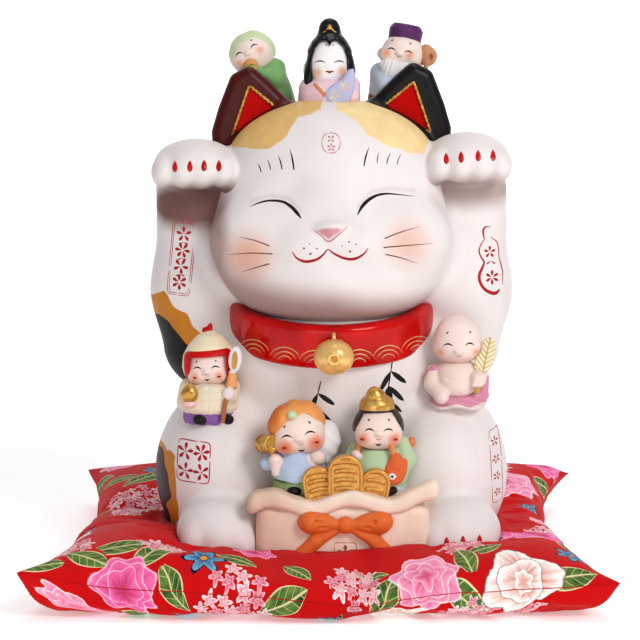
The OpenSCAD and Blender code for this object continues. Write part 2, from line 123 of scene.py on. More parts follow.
# ---------------------------------------------------------------- materials
class Paint:
    """A node material, built a step at a time. Sizes are in millimetres."""

    def __init__(self, name, roughness, **sockets):
        self.material = bpy.data.materials.new(name)
        self.material.use_nodes = True
        self.tree = self.material.node_tree
        self.shader = self.tree.nodes["Principled BSDF"]
        self.shader.inputs["Roughness"].default_value = roughness
        for key, value in sockets.items():
            self.shader.inputs[key.replace("_", " ")].default_value = value
        self.place = self.tree.nodes.new("ShaderNodeTexCoord").outputs["Object"]
        self.heights = []

    def feed(self, socket, value):
        if isinstance(value, bpy.types.NodeSocket):
            self.tree.links.new(value, socket)
        else:
            socket.default_value = value

    def attribute(self, name, output="Fac"):
        node = self.tree.nodes.new("ShaderNodeAttribute")
        node.attribute_name = name
        return node.outputs[output]

    def math(self, operation, a, b=0.0, c=None, clamp=False):
        node = self.tree.nodes.new("ShaderNodeMath")
        node.operation, node.use_clamp = operation, clamp
        for socket, value in zip(node.inputs, (a, b, c)):
            if value is not None:
                self.feed(socket, value)
        return node.outputs[0]

    def below(self, value, edge, soft=0.15):
        """1 where value is under the edge, 0 above it."""
        node = self.tree.nodes.new("ShaderNodeMapRange")
        node.interpolation_type = "SMOOTHSTEP"
        self.feed(node.inputs["Value"], value)
        for key, number in (("From Min", edge - soft), ("From Max", edge + soft),
                            ("To Min", 1.0), ("To Max", 0.0)):
            node.inputs[key].default_value = number
        return node.outputs["Result"]

    def mix(self, factor, a, b):
        node = self.tree.nodes.new("ShaderNodeMix")
        node.data_type = "RGBA"
        self.feed(node.inputs[0], factor)
        self.feed(node.inputs[6], a)
        self.feed(node.inputs[7], b)
        return node.outputs[2]

    def noise(self, size, detail=3.0, where=None, contrast=1.0):
        node = self.tree.nodes.new("ShaderNodeTexNoise")
        self.feed(node.inputs["Vector"], where or self.place)
        node.inputs["Scale"].default_value = 1 / (size * MM)
        node.inputs["Detail"].default_value = detail
        if contrast == 1.0:
            return node.outputs["Fac"]
        return self.math("MULTIPLY_ADD", node.outputs["Fac"], contrast, 0.5 - contrast / 2, clamp=True)

    def relief(self, height, depth):
        """Adds a bump of a height value from 0 to 1, depth millimetres deep."""
        node = self.tree.nodes.new("ShaderNodeBump")
        node.inputs["Distance"].default_value = depth * MM
        self.feed(node.inputs["Height"], height)
        if self.heights:
            self.feed(node.inputs["Normal"], self.heights[-1])
        self.heights.append(node.outputs["Normal"])

    def finish(self, colour, roughness=None):
        self.feed(self.shader.inputs["Base Color"], colour)
        if roughness is not None:
            self.feed(self.shader.inputs["Roughness"], roughness)
        if self.heights:
            self.feed(self.shader.inputs["Normal"], self.heights[-1])
        return self.material


def bisque(name, colour, patches=(), roughness=0.5, shade=0.90, sheen=0.2):
    """Painted fired clay: a slightly uneven colour, a fine grain and soft or crisp painted patches.
    Each patch is (attribute, colour, edge softness in mm, strength)."""
    paint = Paint(name, roughness, Specular_IOR_Level=sheen)
    tone = paint.mix(paint.noise(22, 4, contrast=1.6), darker(colour, shade), colour)
    for attribute, tint, soft, strength in patches:
        wander = paint.math("MULTIPLY", paint.noise(5, 3), min(soft, 1.0) * 1.5)
        edge = paint.math("ADD", paint.attribute(attribute), wander)
        cover = paint.below(edge, 0.3, soft)
        if strength < 1:
            cover = paint.math("MULTIPLY", cover, strength)
        brushed = paint.mix(paint.noise(9, 4, contrast=2), darker(tint, 0.82), tint)
        tone = paint.mix(cover, tone, brushed)
    paint.relief(paint.noise(1.1, 2), 0.05)
    paint.relief(paint.noise(9, 2), 0.16)
    return paint.finish(tone, paint.math("MULTIPLY_ADD", paint.noise(4, 3), 0.14, roughness - 0.07))


def glaze(name, colour, deep, roughness=0.12):
    """Glossy fired glaze that pools darker here and there."""
    paint = Paint(name, roughness, Coat_Weight=0.4, Coat_Roughness=0.06, Specular_IOR_Level=0.04)
    tone = paint.mix(paint.noise(14, 3, contrast=2), deep, colour)
    paint.relief(paint.noise(7, 2), 0.22)
    paint.relief(paint.noise(1.6, 2), 0.02)
    return paint.finish(tone)


def gold_lustre(name, bright, deep, metal=0.75, roughness=0.3, wear=2.4):
    """Brushed-on gold: metallic, thinner and browner in scattered worn patches."""
    paint = Paint(name, roughness, Metallic=metal)
    worn = paint.noise(3.2, 5, contrast=wear)
    tone = paint.mix(worn, deep, bright)
    paint.relief(paint.noise(1.2, 3), 0.06)
    paint.relief(paint.noise(6, 2), 0.15)
    return paint.finish(tone, paint.math("MULTIPLY_ADD", worn, -0.16, roughness + 0.12))


def gold_with(name, attribute, other):
    """Gold lustre with one painted part of another colour."""
    paint = Paint(name, 0.34)
    worn = paint.noise(3.0, 5, contrast=2.2)
    gold = paint.mix(worn, rgb(170, 112, 40), rgb(236, 196, 108))
    below = paint.below(paint.attribute(attribute), 0.0, 0.2)
    paint.feed(paint.shader.inputs["Metallic"], paint.math("MULTIPLY_ADD", below, -0.7, 0.7))
    paint.relief(paint.noise(1.3, 3), 0.06)
    return paint.finish(paint.mix(below, gold, other))


# ---------------------------------------------------------------- clay shapes as distance fields
# A field takes points (N, 3) in mm and gives each point's distance to the surface, minus inside.
def turned_about_y(p, middle, degrees):
    """Points seen by a shape that leans by some degrees towards +X about its middle."""
    a = math.radians(degrees)
    q = p - np.asarray(middle, float)
    x = q[:, 0] * math.cos(a) - q[:, 2] * math.sin(a)
    z = q[:, 0] * math.sin(a) + q[:, 2] * math.cos(a)
    return np.stack([x, q[:, 1], z], 1) + middle


def egg(p, middle, half, lean=0):
    if lean:
        p = turned_about_y(p, middle, lean)
    q = (p - np.asarray(middle, float)) / half
    far = np.sqrt((q * q).sum(1)) + 1e-6
    slope = q / half
    return far * (far - 1) / (np.sqrt((slope * slope).sum(1)) + 1e-6)


def bone(p, a, b, ra, rb):
    a, b = np.asarray(a, float), np.asarray(b, float)
    along = b - a
    t = np.clip(((p - a) @ along) / (along @ along), 0, 1)
    return np.linalg.norm(p - a - t[:, None] * along, axis=1) - (ra + (rb - ra) * t)


def block(p, middle, half, soft, lean=0):
    if lean:
        p = turned_about_y(p, middle, lean)
    q = np.abs(p - np.asarray(middle, float)) - (np.asarray(half, float) - soft)
    return np.linalg.norm(np.maximum(q, 0), axis=1) + np.minimum(q.max(1), 0) - soft


def outline(x, z, corners):
    """Signed distance to a closed polygon in the x, z plane."""
    corners = np.asarray(corners, float)
    points = np.stack([x, z], 1)
    far = np.full(len(x), 1e9)
    inside = np.ones(len(x))
    for a, b in zip(corners, np.roll(corners, 1, axis=0)):
        edge, to = b - a, points - a
        near = to - np.clip((to @ edge) / (edge @ edge), 0, 1)[:, None] * edge
        far = np.minimum(far, (near * near).sum(1))
        above = points[:, 1] >= a[1]
        below = points[:, 1] < b[1]
        left = edge[0] * to[:, 1] > edge[1] * to[:, 0]
        flips = (above & below & left) | (~above & ~below & ~left)
        inside = np.where(flips, -inside, inside)
    return inside * np.sqrt(far)


def plate(p, corners, front, back, soft):
    """A flat piece with a polygon outline in x, z, between two depths, all edges rounded."""
    flat = outline(p[:, 0], p[:, 2], corners) + soft
    deep = np.abs(p[:, 1] - (front + back) / 2) - (abs(back - front) / 2 - soft)
    both_out = np.hypot(np.maximum(flat, 0), np.maximum(deep, 0))
    return both_out + np.minimum(np.maximum(flat, deep), 0) - soft


def lathe(p, middle, rings, soft=0.6):
    """A solid of revolution about a vertical axis, from (radius, height) points, edges rounded."""
    r = np.hypot(p[:, 0] - middle[0], p[:, 1] - middle[1])
    rings = [(0, rings[0][1])] + list(rings) + [(0, rings[-1][1])]
    mirrored = rings + [(-x, z) for x, z in reversed(rings[1:-1])]
    return outline(r, p[:, 2] - middle[2], mirrored) - soft


def join(a, b, soft):
    """Union with a fillet."""
    h = np.clip(0.5 + 0.5 * (b - a) / soft, 0, 1)
    return b * (1 - h) + a * h - soft * h * (1 - h)


def carve(a, b, soft):
    """a with b taken away, the edge rounded."""
    return -join(-a, b, soft)


def shared(a, b, soft):
    return -join(-a, -b, soft)


def luted(part, base, soft, reach=22):
    """A part whose foot flows out over its base, the way luted clay does."""
    return np.maximum.reduce([join(part, base + 0.12, soft), -(base + 3.5), part - reach])


# ---------------------------------------------------------------- from fields to meshes
def slope_of(field, p, step=0.05):
    shifts = np.eye(3) * step
    grad = np.stack([field(p + s) - field(p - s) for s in shifts], 1) / (2 * step)
    return grad / (np.linalg.norm(grad, axis=1, keepdims=True) + 1e-9)


def settle(field, p, rounds=2, most=1.5):
    for _ in range(rounds):
        p = p - np.clip(field(p), -most, most)[:, None] * slope_of(field, p)
    return p


def relax(p, quads):
    """Moves every point to the middle of its neighbours."""
    total, count = np.zeros_like(p), np.zeros(len(p))
    for a, b in ((0, 1), (1, 2), (2, 3), (3, 0)):
        for i, j in ((a, b), (b, a)):
            np.add.at(total, quads[:, i], p[quads[:, j]])
            np.add.at(count, quads[:, i], 1)
    return total / np.maximum(count, 1)[:, None]


def cast(field, low, high, cell):
    """The field's surface inside a box, as points in mm and quads."""
    low = np.asarray(low, float)
    counts = np.ceil((np.asarray(high, float) - low) / cell).astype(int) + 1
    x, y, z = (low[i] + cell * np.arange(counts[i]) for i in range(3))
    across, up = (g.ravel() for g in np.meshgrid(y, z, indexing="ij"))
    limit = 3 * cell
    values = np.empty(counts, np.float32)
    for i, at in enumerate(x):
        slab = np.stack([np.full(across.shape, at), across, up], 1)
        values[i] = np.clip(field(slab), -limit, limit).reshape(counts[1], counts[2])
    grid = openvdb.FloatGrid(float(limit))
    grid.copyFromArray(values)
    points, quads = grid.convertToQuads(0.0)
    points = points.astype(float) * cell + low
    quads = quads.astype(int)
    for _ in range(2):
        points = settle(field, relax(points, quads), 1, cell)
    return points, quads


class Place:
    """Where something sculpted in its own frame stands: an origin on the cat and a lean towards +X."""

    def __init__(self, origin=(0, 0, 0), lean=0.0):
        a = math.radians(lean)
        self.turn = np.array([[math.cos(a), 0, math.sin(a)], [0, 1, 0], [-math.sin(a), 0, math.cos(a)]])
        self.origin = np.asarray(origin, float)

    def out(self, p):
        return (np.asarray(p) @ self.turn.T + self.origin + CAT_AT) * MM


CAT = Place()


def doll_place(head_node, head_at, lean=0.0):
    """The place of a small figure whose head, at head_at in its own frame, is that CAD node."""
    low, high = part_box(head_node)
    middle = np.array((low + high) / 2) / MM - CAT_AT
    turn = Place((0, 0, 0), lean).turn
    return Place(middle - turn @ np.asarray(head_at, float), lean)


def piece(name, points, faces, material, place=CAT, nodes=(), body="figurine",
          paint=None, smooth=True):
    mesh = bpy.data.meshes.new(name)
    mesh.from_pydata(place.out(points).tolist(), [], [tuple(f) for f in np.asarray(faces).tolist()]
                     if isinstance(faces, np.ndarray) else faces)
    for key, field in (paint or {}).items():
        layer = mesh.attributes.new(key, "FLOAT", "POINT")
        layer.data.foreach_set("value", field(points).astype(np.float32))
    mesh.polygons.foreach_set("use_smooth", [smooth] * len(mesh.polygons))
    mesh.materials.append(material)
    mesh.update()
    obj = bpy.data.objects.new(name, mesh)
    bpy.context.collection.objects.link(obj)
    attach(obj, body)
    if nodes:
        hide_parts(*nodes)
    return obj


def clay(name, field, low, high, cell, material, place=CAT, node=None, slot="white_ceramic", paint=None,
         body="figurine"):
    """One sculpted piece. It stands for the CAD node of the same name unless told otherwise."""
    points, quads = cast(field, low, high, cell)
    return piece(name + "_clay", points, quads, material, place, (node or name,), body, paint)


# ---------------------------------------------------------------- painted lines
def curve_through(points, step=0.35):
    """A smooth curve through control rows, sampled evenly. Rows may hold widths as well."""
    rows = np.asarray(points, float)
    if len(rows) == 2:
        rows = np.stack([rows[0], rows.mean(0), rows[1]])
    ends = np.vstack([2 * rows[0] - rows[1], rows, 2 * rows[-1] - rows[-2]])
    out = []
    for a, b, c, d in zip(ends, ends[1:], ends[2:], ends[3:]):
        count = max(2, int(np.linalg.norm((c - b)[:2]) / step))
        t = np.linspace(0, 1, count, endpoint=False)[:, None]
        out.append(0.5 * (2 * b + (c - a) * t + (2 * a - 5 * b + 4 * c - d) * t ** 2
                          + (3 * b - a - 3 * c + d) * t ** 3))
    return np.vstack(out + [rows[-1:]])


def drop_on(field, x, z, start=-140.0):
    """Where lines along +Y from the front first meet a surface, or pass nearest to it."""
    p = np.stack([x, np.full(len(x), start), z], 1)
    nearest, gap = p.copy(), np.full(len(x), np.inf)
    for _ in range(70):
        away = field(p)
        closer = np.abs(away) < gap
        nearest[closer], gap[closer] = p[closer], np.abs(away[closer])
        p[:, 1] += np.clip(away, -2, 40) * 0.85
    return nearest


class Brush:
    """Collects painted strokes on one surface. Each is a thin closed bead that follows the clay."""
    across = np.array([-1.0, -0.6, 0.0, 0.6, 1.0, 0.0])

    def __init__(self, field, thick=0.14, start=-140.0):
        self.field, self.thick, self.start = field, thick, start
        self.flat, self.faces, self.count = [], [], 0

    def stroke(self, rows, closed=False):
        """rows are (x, z, width)."""
        rows = [tuple(r) for r in rows]
        path = curve_through(rows + rows[:1])[:-1] if closed else curve_through(rows)
        ahead = np.roll(path, -1, 0) - np.roll(path, 1, 0)
        if not closed:
            ahead[0], ahead[-1] = path[1] - path[0], path[-1] - path[-2]
        along = ahead[:, :2] / (np.linalg.norm(ahead[:, :2], axis=1, keepdims=True) + 1e-9)
        side = np.stack([-along[:, 1], along[:, 0]], 1)
        spread = path[:, None, 2:] / 2 * self.across[None, :, None]
        self.flat.append((path[:, None, :2] + side[:, None, :] * spread).reshape(-1, 2))
        rows_count, width, base = len(path), len(self.across), self.count
        self.count += rows_count * width
        for i in range(rows_count if closed else rows_count - 1):
            j = (i + 1) % rows_count
            for k in range(width):
                m = (k + 1) % width
                self.faces.append((base + i * width + k, base + j * width + k,
                                   base + j * width + m, base + i * width + m))
        if not closed:
            self.faces.append(tuple(base + k for k in range(width)))
            self.faces.append(tuple(base + (rows_count - 1) * width + k for k in reversed(range(width))))

    def petal(self, x, z, length, width, degrees, waist=0.6):
        """A drop shape from its pointed foot, in a direction counted from +X."""
        a = math.radians(degrees)
        self.stroke([(x + length * t * math.cos(a), z + length * t * math.sin(a), width * w)
                     for t, w in ((0, 0.12), (0.3, waist), (0.62, 1.0), (0.86, 0.72), (1, 0.18))])

    def blossom(self, x, z, size, petals=5, turn=90, width=0.75):
        for k in range(petals):
            a = turn + 360 * k / petals
            foot = size * 0.16
            self.petal(x + foot * math.cos(math.radians(a)), z + foot * math.sin(math.radians(a)),
                       size * 0.84, size * width, a)

    def dot(self, x, z, size):
        self.stroke([(x - size * 0.5, z, size * 0.2), (x - size * 0.3, z, size * 0.82), (x, z, size),
                     (x + size * 0.3, z, size * 0.82), (x + size * 0.5, z, size * 0.2)])

    def frame(self, x, z, wide, high, lean, width, lifts=(0.03, 0.21, 0.4, 0.56, 0.8), square=9):
        """A hand-painted rounded box, its line broken where the brush was lifted."""
        a = math.radians(lean)
        for start, end in zip(lifts, lifts[1:] + (lifts[0] + 1,)):
            rows = []
            for t in np.linspace(0, 1, 13):
                turn = 2 * math.pi * (start + 0.008 + (end - start - 0.016) * t)
                c, s = math.cos(turn), math.sin(turn)
                k = (abs(c) ** square + abs(s) ** square) ** (-1 / square)
                u, v = wide / 2 * k * c, high / 2 * k * s
                rows.append((x + u * math.cos(a) + v * math.sin(a), z - u * math.sin(a) + v * math.cos(a),
                             width * (0.3 + 0.7 * math.sin(math.pi * (0.05 + 0.9 * t)) ** 0.5)))
            self.stroke(rows)

    def leafy(self, x, z, joints, step, size, lean=0.0):
        """A hanging spray: a jointed stem with narrow leaves that droop to both sides."""
        a = math.radians(lean)
        along = np.array([math.sin(a), -math.cos(a)])
        for k in range(joints):
            foot = np.array([x, z]) + along * step * k
            tip = foot + along * step * 0.9
            self.stroke([tuple(foot) + (0.5,), tuple((foot + tip) / 2) + (0.9,), tuple(tip) + (0.6,)])
            for turn, length in ((-62, 1.0), (-118, 0.9), (-96, 0.7)) if k % 2 else ((-48, 0.9), (-128, 1.0)):
                self.petal(tip[0], tip[1], size * length, size * 0.26, turn - lean + 7 * k % 13, 0.9)

    def done(self, name, material, place=CAT):
        flat = np.vstack(self.flat)
        p = drop_on(self.field, flat[:, 0], flat[:, 1], self.start)
        lift = self.thick * (1 - self.across ** 2) - 0.03
        lift[-1] = -0.35
        p = p + slope_of(self.field, p) * np.tile(lift, len(p) // len(lift))[:, None]
        return piece(name, p, self.faces, material, place, ())


def rope(name, path, radius, material, body="figurine"):
    """A closed twisted cord along a path of points in mm."""
    path = np.asarray(path, float)
    ahead = np.roll(path, -1, 0) - np.roll(path, 1, 0)
    ahead /= np.linalg.norm(ahead, axis=1, keepdims=True)
    front = np.array([0.0, -1.0, 0.0])
    side = np.cross(ahead, front)
    side /= np.linalg.norm(side, axis=1, keepdims=True)
    lift = np.cross(side, ahead)
    run = np.cumsum(np.linalg.norm(np.roll(path, -1, 0) - path, axis=1))
    turns = round(run[-1] / (radius * 3.4))
    around = np.arange(12) * math.pi / 6
    swell = radius * (1 + 0.2 * np.cos(2 * around[None, :] - 2 * math.pi * turns * run[:, None] / run[-1]))
    points = path[:, None, :] + swell[:, :, None] * (np.cos(around)[None, :, None] * side[:, None, :]
                                                     + np.sin(around)[None, :, None] * lift[:, None, :])
    count, faces = len(path), []
    for i in range(count):
        j = (i + 1) % count
        faces += [(i * 12 + k, i * 12 + (k + 1) % 12, j * 12 + (k + 1) % 12, j * 12 + k) for k in range(12)]
    return piece(name, points.reshape(-1, 3), faces, material, CAT, (), body)


# ---------------------------------------------------------------- the cat's clay
SIDES = (-1, 1)
ARM_X = 71.5
CHEEK_Z = 162
HEAD_HALF = 66
NECK_AT, NECK_R = (0, -6, 112), 49
COLLAR_AT, COLLAR_TILT, COLLAR_H, COLLAR_T = (0, -6, 119.5), 12, 20, 8
EAR_CORNERS = [(-61.5, 205), (-22, 222), (-20, 230), (-36, 245.5), (-43, 251.5), (-50, 248), (-57.5, 229),
               (-62, 214)]
EAR_HOLE = [(-52, 216), (-26.5, 228.6), (-43, 242)]
EAR_STEP = 2.0
# The ears lean forwards, by EAR_BEND for each millimetre above EAR_BEND_Z.
EAR_BEND, EAR_BEND_Z = 0.06, 220
# Height of each paw's middle; -1 is the left side, 1 the right.
PAW_Z = {-1: 201, 1: 204.5}


def trunk(p):
    belly = egg(p, (0, 4, 56), (68, 58, 74))
    chest = egg(p, (0, 0, 98), (70, 48, 34))
    neck = egg(p, NECK_AT, (NECK_R, NECK_R, 24))
    return join(join(belly, chest, 18), neck, 8)


def thigh(p, s):
    return join(egg(p, (56 * s, -16, 40), (37, 50, 46)), egg(p, (46 * s, 24, 38), (42, 42, 46)), 16)


def body(p):
    pad = block(p, (0, -2, 6), (72, 40, 7), 6)
    d = join(trunk(p), pad, 10)
    for s in SIDES:
        d = join(d, thigh(p, s), 7)
    d = np.maximum(d, p[:, 2] - 126)
    return shared(d, -p[:, 2], 2.5)


def body_with_slot(p):
    slot = block(p, (0, 52, 95), (18, 16, 2.4), 1.0)
    hollow = np.hypot(p[:, 0], p[:, 1] - DISC_BACK) - 40
    hollow = np.maximum(hollow, p[:, 2] - 14)
    return carve(carve(body(p), slot, 1.6), hollow, 1.5)


def head_form(p):
    d = join(egg(p, (0, -10, CHEEK_Z - 1), (HEAD_HALF, 60, 42)),
             egg(p, (0, -6, CHEEK_Z + 25), (60, 52, 47)), 12)
    d = join(d, egg(p, (0, -4, 205.5), (52, 43, 28.5)), 8)
    return join(d, egg(p, (0, -24, CHEEK_Z - 17), (52, 44, 27)), 12)


def head(p):
    d = head_form(p)
    for s in SIDES:
        d = join(d, egg(p, (11.5 * s, -61.5, CHEEK_Z + 0.5), (14.5, 10.5, 9.5)), 7)
        d = join(d, egg(p, (35 * s, -42, CHEEK_Z + 4), (25, 21, 18)), 10)
        socket = egg(p, (28 * s, -66, CHEEK_Z + 30), (17, 12, 7.5), 9 * s)
        d = carve(d, socket, 9)
    d = join(d, egg(p, (0, -57, CHEEK_Z - 16), (13, 9, 9)), 10)
    nose = join(egg(p, (0, -69.5, CHEEK_Z + 9.4), (7.4, 4.2, 3.4)),
                egg(p, (0, -68, CHEEK_Z + 6.4), (3, 4.6, 4)), 3)
    return join(d, nose, 4)


def arm(p, s):
    shoulder, elbow, wrist = (64 * s, 4, 106), ((ARM_X - 2) * s, 2, 134), ((ARM_X + 0.5) * s, 0, 188)
    low = bone(p, shoulder, elbow, 26, 23.5)
    high = bone(p, elbow, wrist, 23.5, 21)
    return join(low, high, 14)


def paw(p, s, z):
    x = (ARM_X - 0.5) * s
    d = egg(p, (x, -14, z), (22, 29, 13.8))
    for toe in (-1.5, -0.5, 0.5, 1.5):
        d = join(d, egg(p, (x + toe * 10.2, -34 + abs(toe) * 2.4, z - 3), (6.9, 11, 8.6)), 3)
    return d


def on_ear(corners, s):
    """An outline drawn for the left ear, moved to the ear of side s. The right one stands higher."""
    return [(-s * x, z + (EAR_STEP if s > 0 else 0)) for x, z in corners]


def unbent(p):
    """Points seen by an ear that leans forwards with height."""
    q = p.copy()
    q[:, 1] += (p[:, 2] - EAR_BEND_Z) * EAR_BEND
    return q


def ear(p, s):
    corners = on_ear(EAR_CORNERS, s)
    q = unbent(p)
    middle = np.mean(corners, axis=0)
    inner = [tuple(middle + (np.array(c) - middle) * 0.78) for c in corners]
    d = plate(q, inner, -4, 4, 0.5) - 5.2
    return carve(d, plate(q, on_ear(EAR_HOLE, s), -14, -6.2, 1.0), 1.6)


def ear_inner(p, s):
    return plate(unbent(p), on_ear(EAR_HOLE, s), -8.2, -3, 0.6)


def ear_rim(s):
    """The line of the gold cord round the red triangle."""
    corners = np.array(on_ear(EAR_HOLE, s))
    middle, path = corners.mean(0), []
    for a, b, c in zip(np.roll(corners, 1, 0), corners, np.roll(corners, -1, 0)):
        a, b, c = (middle + (v - middle) * 1.03 for v in (a, b, c))
        into, out = (b - a) / np.linalg.norm(b - a), (c - b) / np.linalg.norm(c - b)
        for t in np.linspace(0, 1, 7):
            path.append((b - into * 1.6) * (1 - t) ** 2 + 2 * b * t * (1 - t) + (b + out * 1.6) * t ** 2)
        run = np.linalg.norm(c - b) - 3.2
        path += [b + out * (1.6 + run * t) for t in np.linspace(0, 1, int(run / 0.4))[1:-1]]
    flat = np.array(path)
    return np.stack([flat[:, 0], -9.0 - (flat[:, 1] - EAR_BEND_Z) * EAR_BEND, flat[:, 1]], 1)


def foot(p, s):
    x = 64 if s > 0 else -57
    d = egg(p, (x, -64, 17), (22, 28, 18))
    for toe in (-1, 0, 1):
        d = join(d, egg(p, (x + toe * 11.5, -84 + abs(toe) * 2, 13), (7.2, 8.5, 11)), 3.5)
    return shared(d, -p[:, 2], 2)


def tail(p):
    d = join(egg(p, (14, 68, 16), (20, 15, 15)), egg(p, (30, 60, 20), (16, 18, 14)), 10)
    return shared(d, -p[:, 2], 2)


def tilt_about_x(p, middle, degrees):
    a = math.radians(degrees)
    q = p - np.asarray(middle, float)
    y = q[:, 1] * math.cos(a) + q[:, 2] * math.sin(a)
    z = -q[:, 1] * math.sin(a) + q[:, 2] * math.cos(a)
    return np.stack([q[:, 0], y, z], 1)


def collar(p):
    q = tilt_about_x(p, COLLAR_AT, COLLAR_TILT)
    r = np.hypot(q[:, 0], q[:, 1])
    middle = NECK_R - 2.5 + COLLAR_T / 2
    bulge = 0.9 * (1 - (q[:, 2] / (COLLAR_H / 2)) ** 2)
    soft, raised = 2.2, 1.2
    u = np.abs(r - middle - bulge / 2) - COLLAR_T / 2 - bulge / 2 + soft
    v = np.abs(q[:, 2] - raised) - COLLAR_H / 2 - raised + soft
    return np.hypot(np.maximum(u, 0), np.maximum(v, 0)) + np.minimum(np.maximum(u, v), 0) - soft


BELL_AT, BELL_R = (1, -65.5, 106), 9.6


def bell(p):
    x, y, z = BELL_AT
    ball = egg(p, BELL_AT, (BELL_R + 0.6, BELL_R, BELL_R - 0.4))
    hole = egg(p, (x, y - BELL_R, z), (1.7, 3, 1.5))
    lip = np.hypot(np.hypot(p[:, 0] - x, p[:, 2] - z) - 2.5, p[:, 1] - y + BELL_R - 0.5) - 0.7
    ball = carve(join(ball, lip, 1.2), hole, 0.6)
    loop = np.hypot(np.hypot(p[:, 1] - y - 3, p[:, 2] - z - BELL_R + 0.6) - 2.4, p[:, 0] - x) - 1.0
    return join(ball, loop, 0.8)


# Painted patches, as distances in mm to blobs of colour
def blob(corners, waver=0.5):
    """A hand-painted patch with that outline in the x, z plane, edges slightly wavy."""
    def cover(p):
        x = p[:, 0] + waver * np.sin(p[:, 2] * 0.55) + 0.3 * waver * np.sin(p[:, 1] * 0.4)
        z = p[:, 2] + waver * np.cos(p[:, 0] * 0.5 + p[:, 1] * 0.2)
        return outline(x, z, corners)
    return cover


CALICO_LEFT = [(-75, 222), (-62, 214), (-52, 210.5), (-40, 209.6), (-30.5, 211), (-25.5, 214.2), (-22, 218),
               (-20.4, 221.5), (-18, 225.5), (-12, 228), (-5, 229.5), (-4, 245), (-75, 245)]
CALICO_RIGHT = [(2, 245), (3, 230), (7, 226.5), (12.5, 224.2), (15.5, 221.8), (18.5, 217.3), (25.5, 213),
                (36.5, 209.3), (44, 207.2), (50, 206.8), (54, 209), (60, 212), (75, 216), (75, 245)]
THIGH_BROWN = [(-100, 53), (-89, 55), (-86.6, 51), (-85.4, 44), (-83.4, 37), (-83.2, 32), (-85.6, 26),
               (-84.6, 20), (-84, 14), (-88, 9), (-100, 10)]
THIGH_ORANGE = [(-87, 54), (-84, 55.4), (-81, 53.6), (-80.4, 47), (-81, 43), (-79.4, 38), (-80.6, 32),
                (-78.4, 26), (-78.8, 20), (-81.4, 15.6), (-84.6, 17), (-87, 28)]
ARM_ORANGE = [(-100, 130), (-93, 133), (-88.5, 134.6), (-85.4, 131), (-82.5, 126.8), (-76.5, 124),
              (-72, 115.6), (-66, 111), (-60, 104), (-66, 92), (-100, 86)]
ARM_BLACK = [(-100, 120), (-92, 121.6), (-85, 118), (-80, 111), (-76, 106.5), (-69, 103.5), (-64, 99),
             (-68, 88), (-100, 78)]
NOSE_PINK = [(-8.6, 170.4), (-1.7, 165.4), (6.0, 171.3), (2.6, 172.0), (-4.9, 171.8)]


def along(rows):
    """Distance in the x, z plane to a line through points."""
    rows = [np.array(r, float) for r in rows]
    def far(p):
        q = p[:, [0, 2]]
        near = np.full(len(q), 1e9)
        for a, b in zip(rows, rows[1:]):
            t = np.clip(((q - a) @ (b - a)) / ((b - a) @ (b - a)), 0, 1)
            near = np.minimum(near, np.linalg.norm(q - a - t[:, None] * (b - a), axis=1))
        return near
    return far


def side_patch(p):
    """The brown patch on the left thigh, rounded off towards the back."""
    return shared(blob(THIGH_BROWN)(p), p[:, 1] - 20 + 5 * np.cos(0.16 * p[:, 2]), 12)


def back_patch(p):
    """A big patch over the rump, which only shows from behind."""
    return join(egg(p, (-24, 60, 66), (26, 30, 24)), egg(p, (-48, 52, 44), (18, 26, 18)), 8)


def left_paw_shade(p):
    """Painted shadow on the left arm and paw, brown, deepest under the paw and beside the head."""
    return join(egg(p, (-70, -24, 180), (38, 28, 13)), egg(p, (-52, -22, 168), (12, 26, 28)), 8)


# Painted shadow under the right paw, paler than the left one.
def right_paw_shade(p):
    return egg(p, (70, -24, 188), (38, 28, 9))


def cheek_shade(p):
    """The soft warm shade round the left edge of the face and under the chin."""
    side = 1.8 * (p[:, 0] + 52.5 + 0.1 * np.abs(p[:, 2] - 160))
    chin = p[:, 2] - 138 - 0.004 * p[:, 0] ** 2 + 0.3 * np.maximum(p[:, 0], 0)
    return join(side, chin, 10) + 1.2 * np.maximum(p[:, 1] + 4, 0)


def lid_shade(p):
    """The soft brown shadow above the smiling eyes."""
    left = along([(-41, 184), (-31, 187), (-22, 185.6), (-16, 180)])(p)
    right = along([(13.5, 182), (20, 189), (30, 190.6), (42, 189)])(p)
    return np.minimum(left, right) - 0.2 + (p[:, 1] > 0) * 50


def nose_patch(p):
    return blob(NOSE_PINK, 0.1)(p) + np.maximum(p[:, 1] + 20, 0)


def arm_patch(corners, back):
    """A patch on an arm, rounded off towards the back."""
    return lambda p: shared(blob(corners)(p), p[:, 1] - back + 4 * np.cos(0.21 * p[:, 2]), 9)


def blush(x, z, size):
    return lambda p: np.hypot(p[:, 0] - x, p[:, 2] - z) - size + (p[:, 1] > 0) * 100


def stopper(p):
    """The rubber plug of the base: a grooved plug, a lipped flange and a raised pull bar."""
    q = p - np.array([0, DISC_BACK, 14.0])
    r = np.hypot(q[:, 0], q[:, 1])
    d = join(lathe(q, (0, 0, 0), [(10.4, 6.4), (11.2, 4.4), (11.2, 0.4)], 0.5),
             lathe(q, (0, 0, 0), [(12.6, -2.0), (14.3, -1.4), (14.3, -0.6)], 0.5), 0.4)
    d = carve(d, np.hypot(np.maximum(r - 9.4, 0), np.maximum(np.abs(q[:, 2] + 3.2) - 1.9, 0)) - 0.3, 0.5)
    bar = block(q, (0, 0, -1.3), (8.6, 1.3, 1.2), 0.9)
    return join(d, bar, 0.5)


def base_ring(p):
    """The disc that closes the foot, with its round hole, a little uneven."""
    hole = np.hypot(p[:, 0], p[:, 1] - DISC_BACK) - 12.0
    d = carve(lathe(p, (0, DISC_BACK, 0), [(40.4, 13.9), (40.4, 18.4)], 0.6), hole, 0.5)
    return d + 0.12 * np.cos(p[:, 0] * 0.3) * np.cos(p[:, 1] * 0.23)


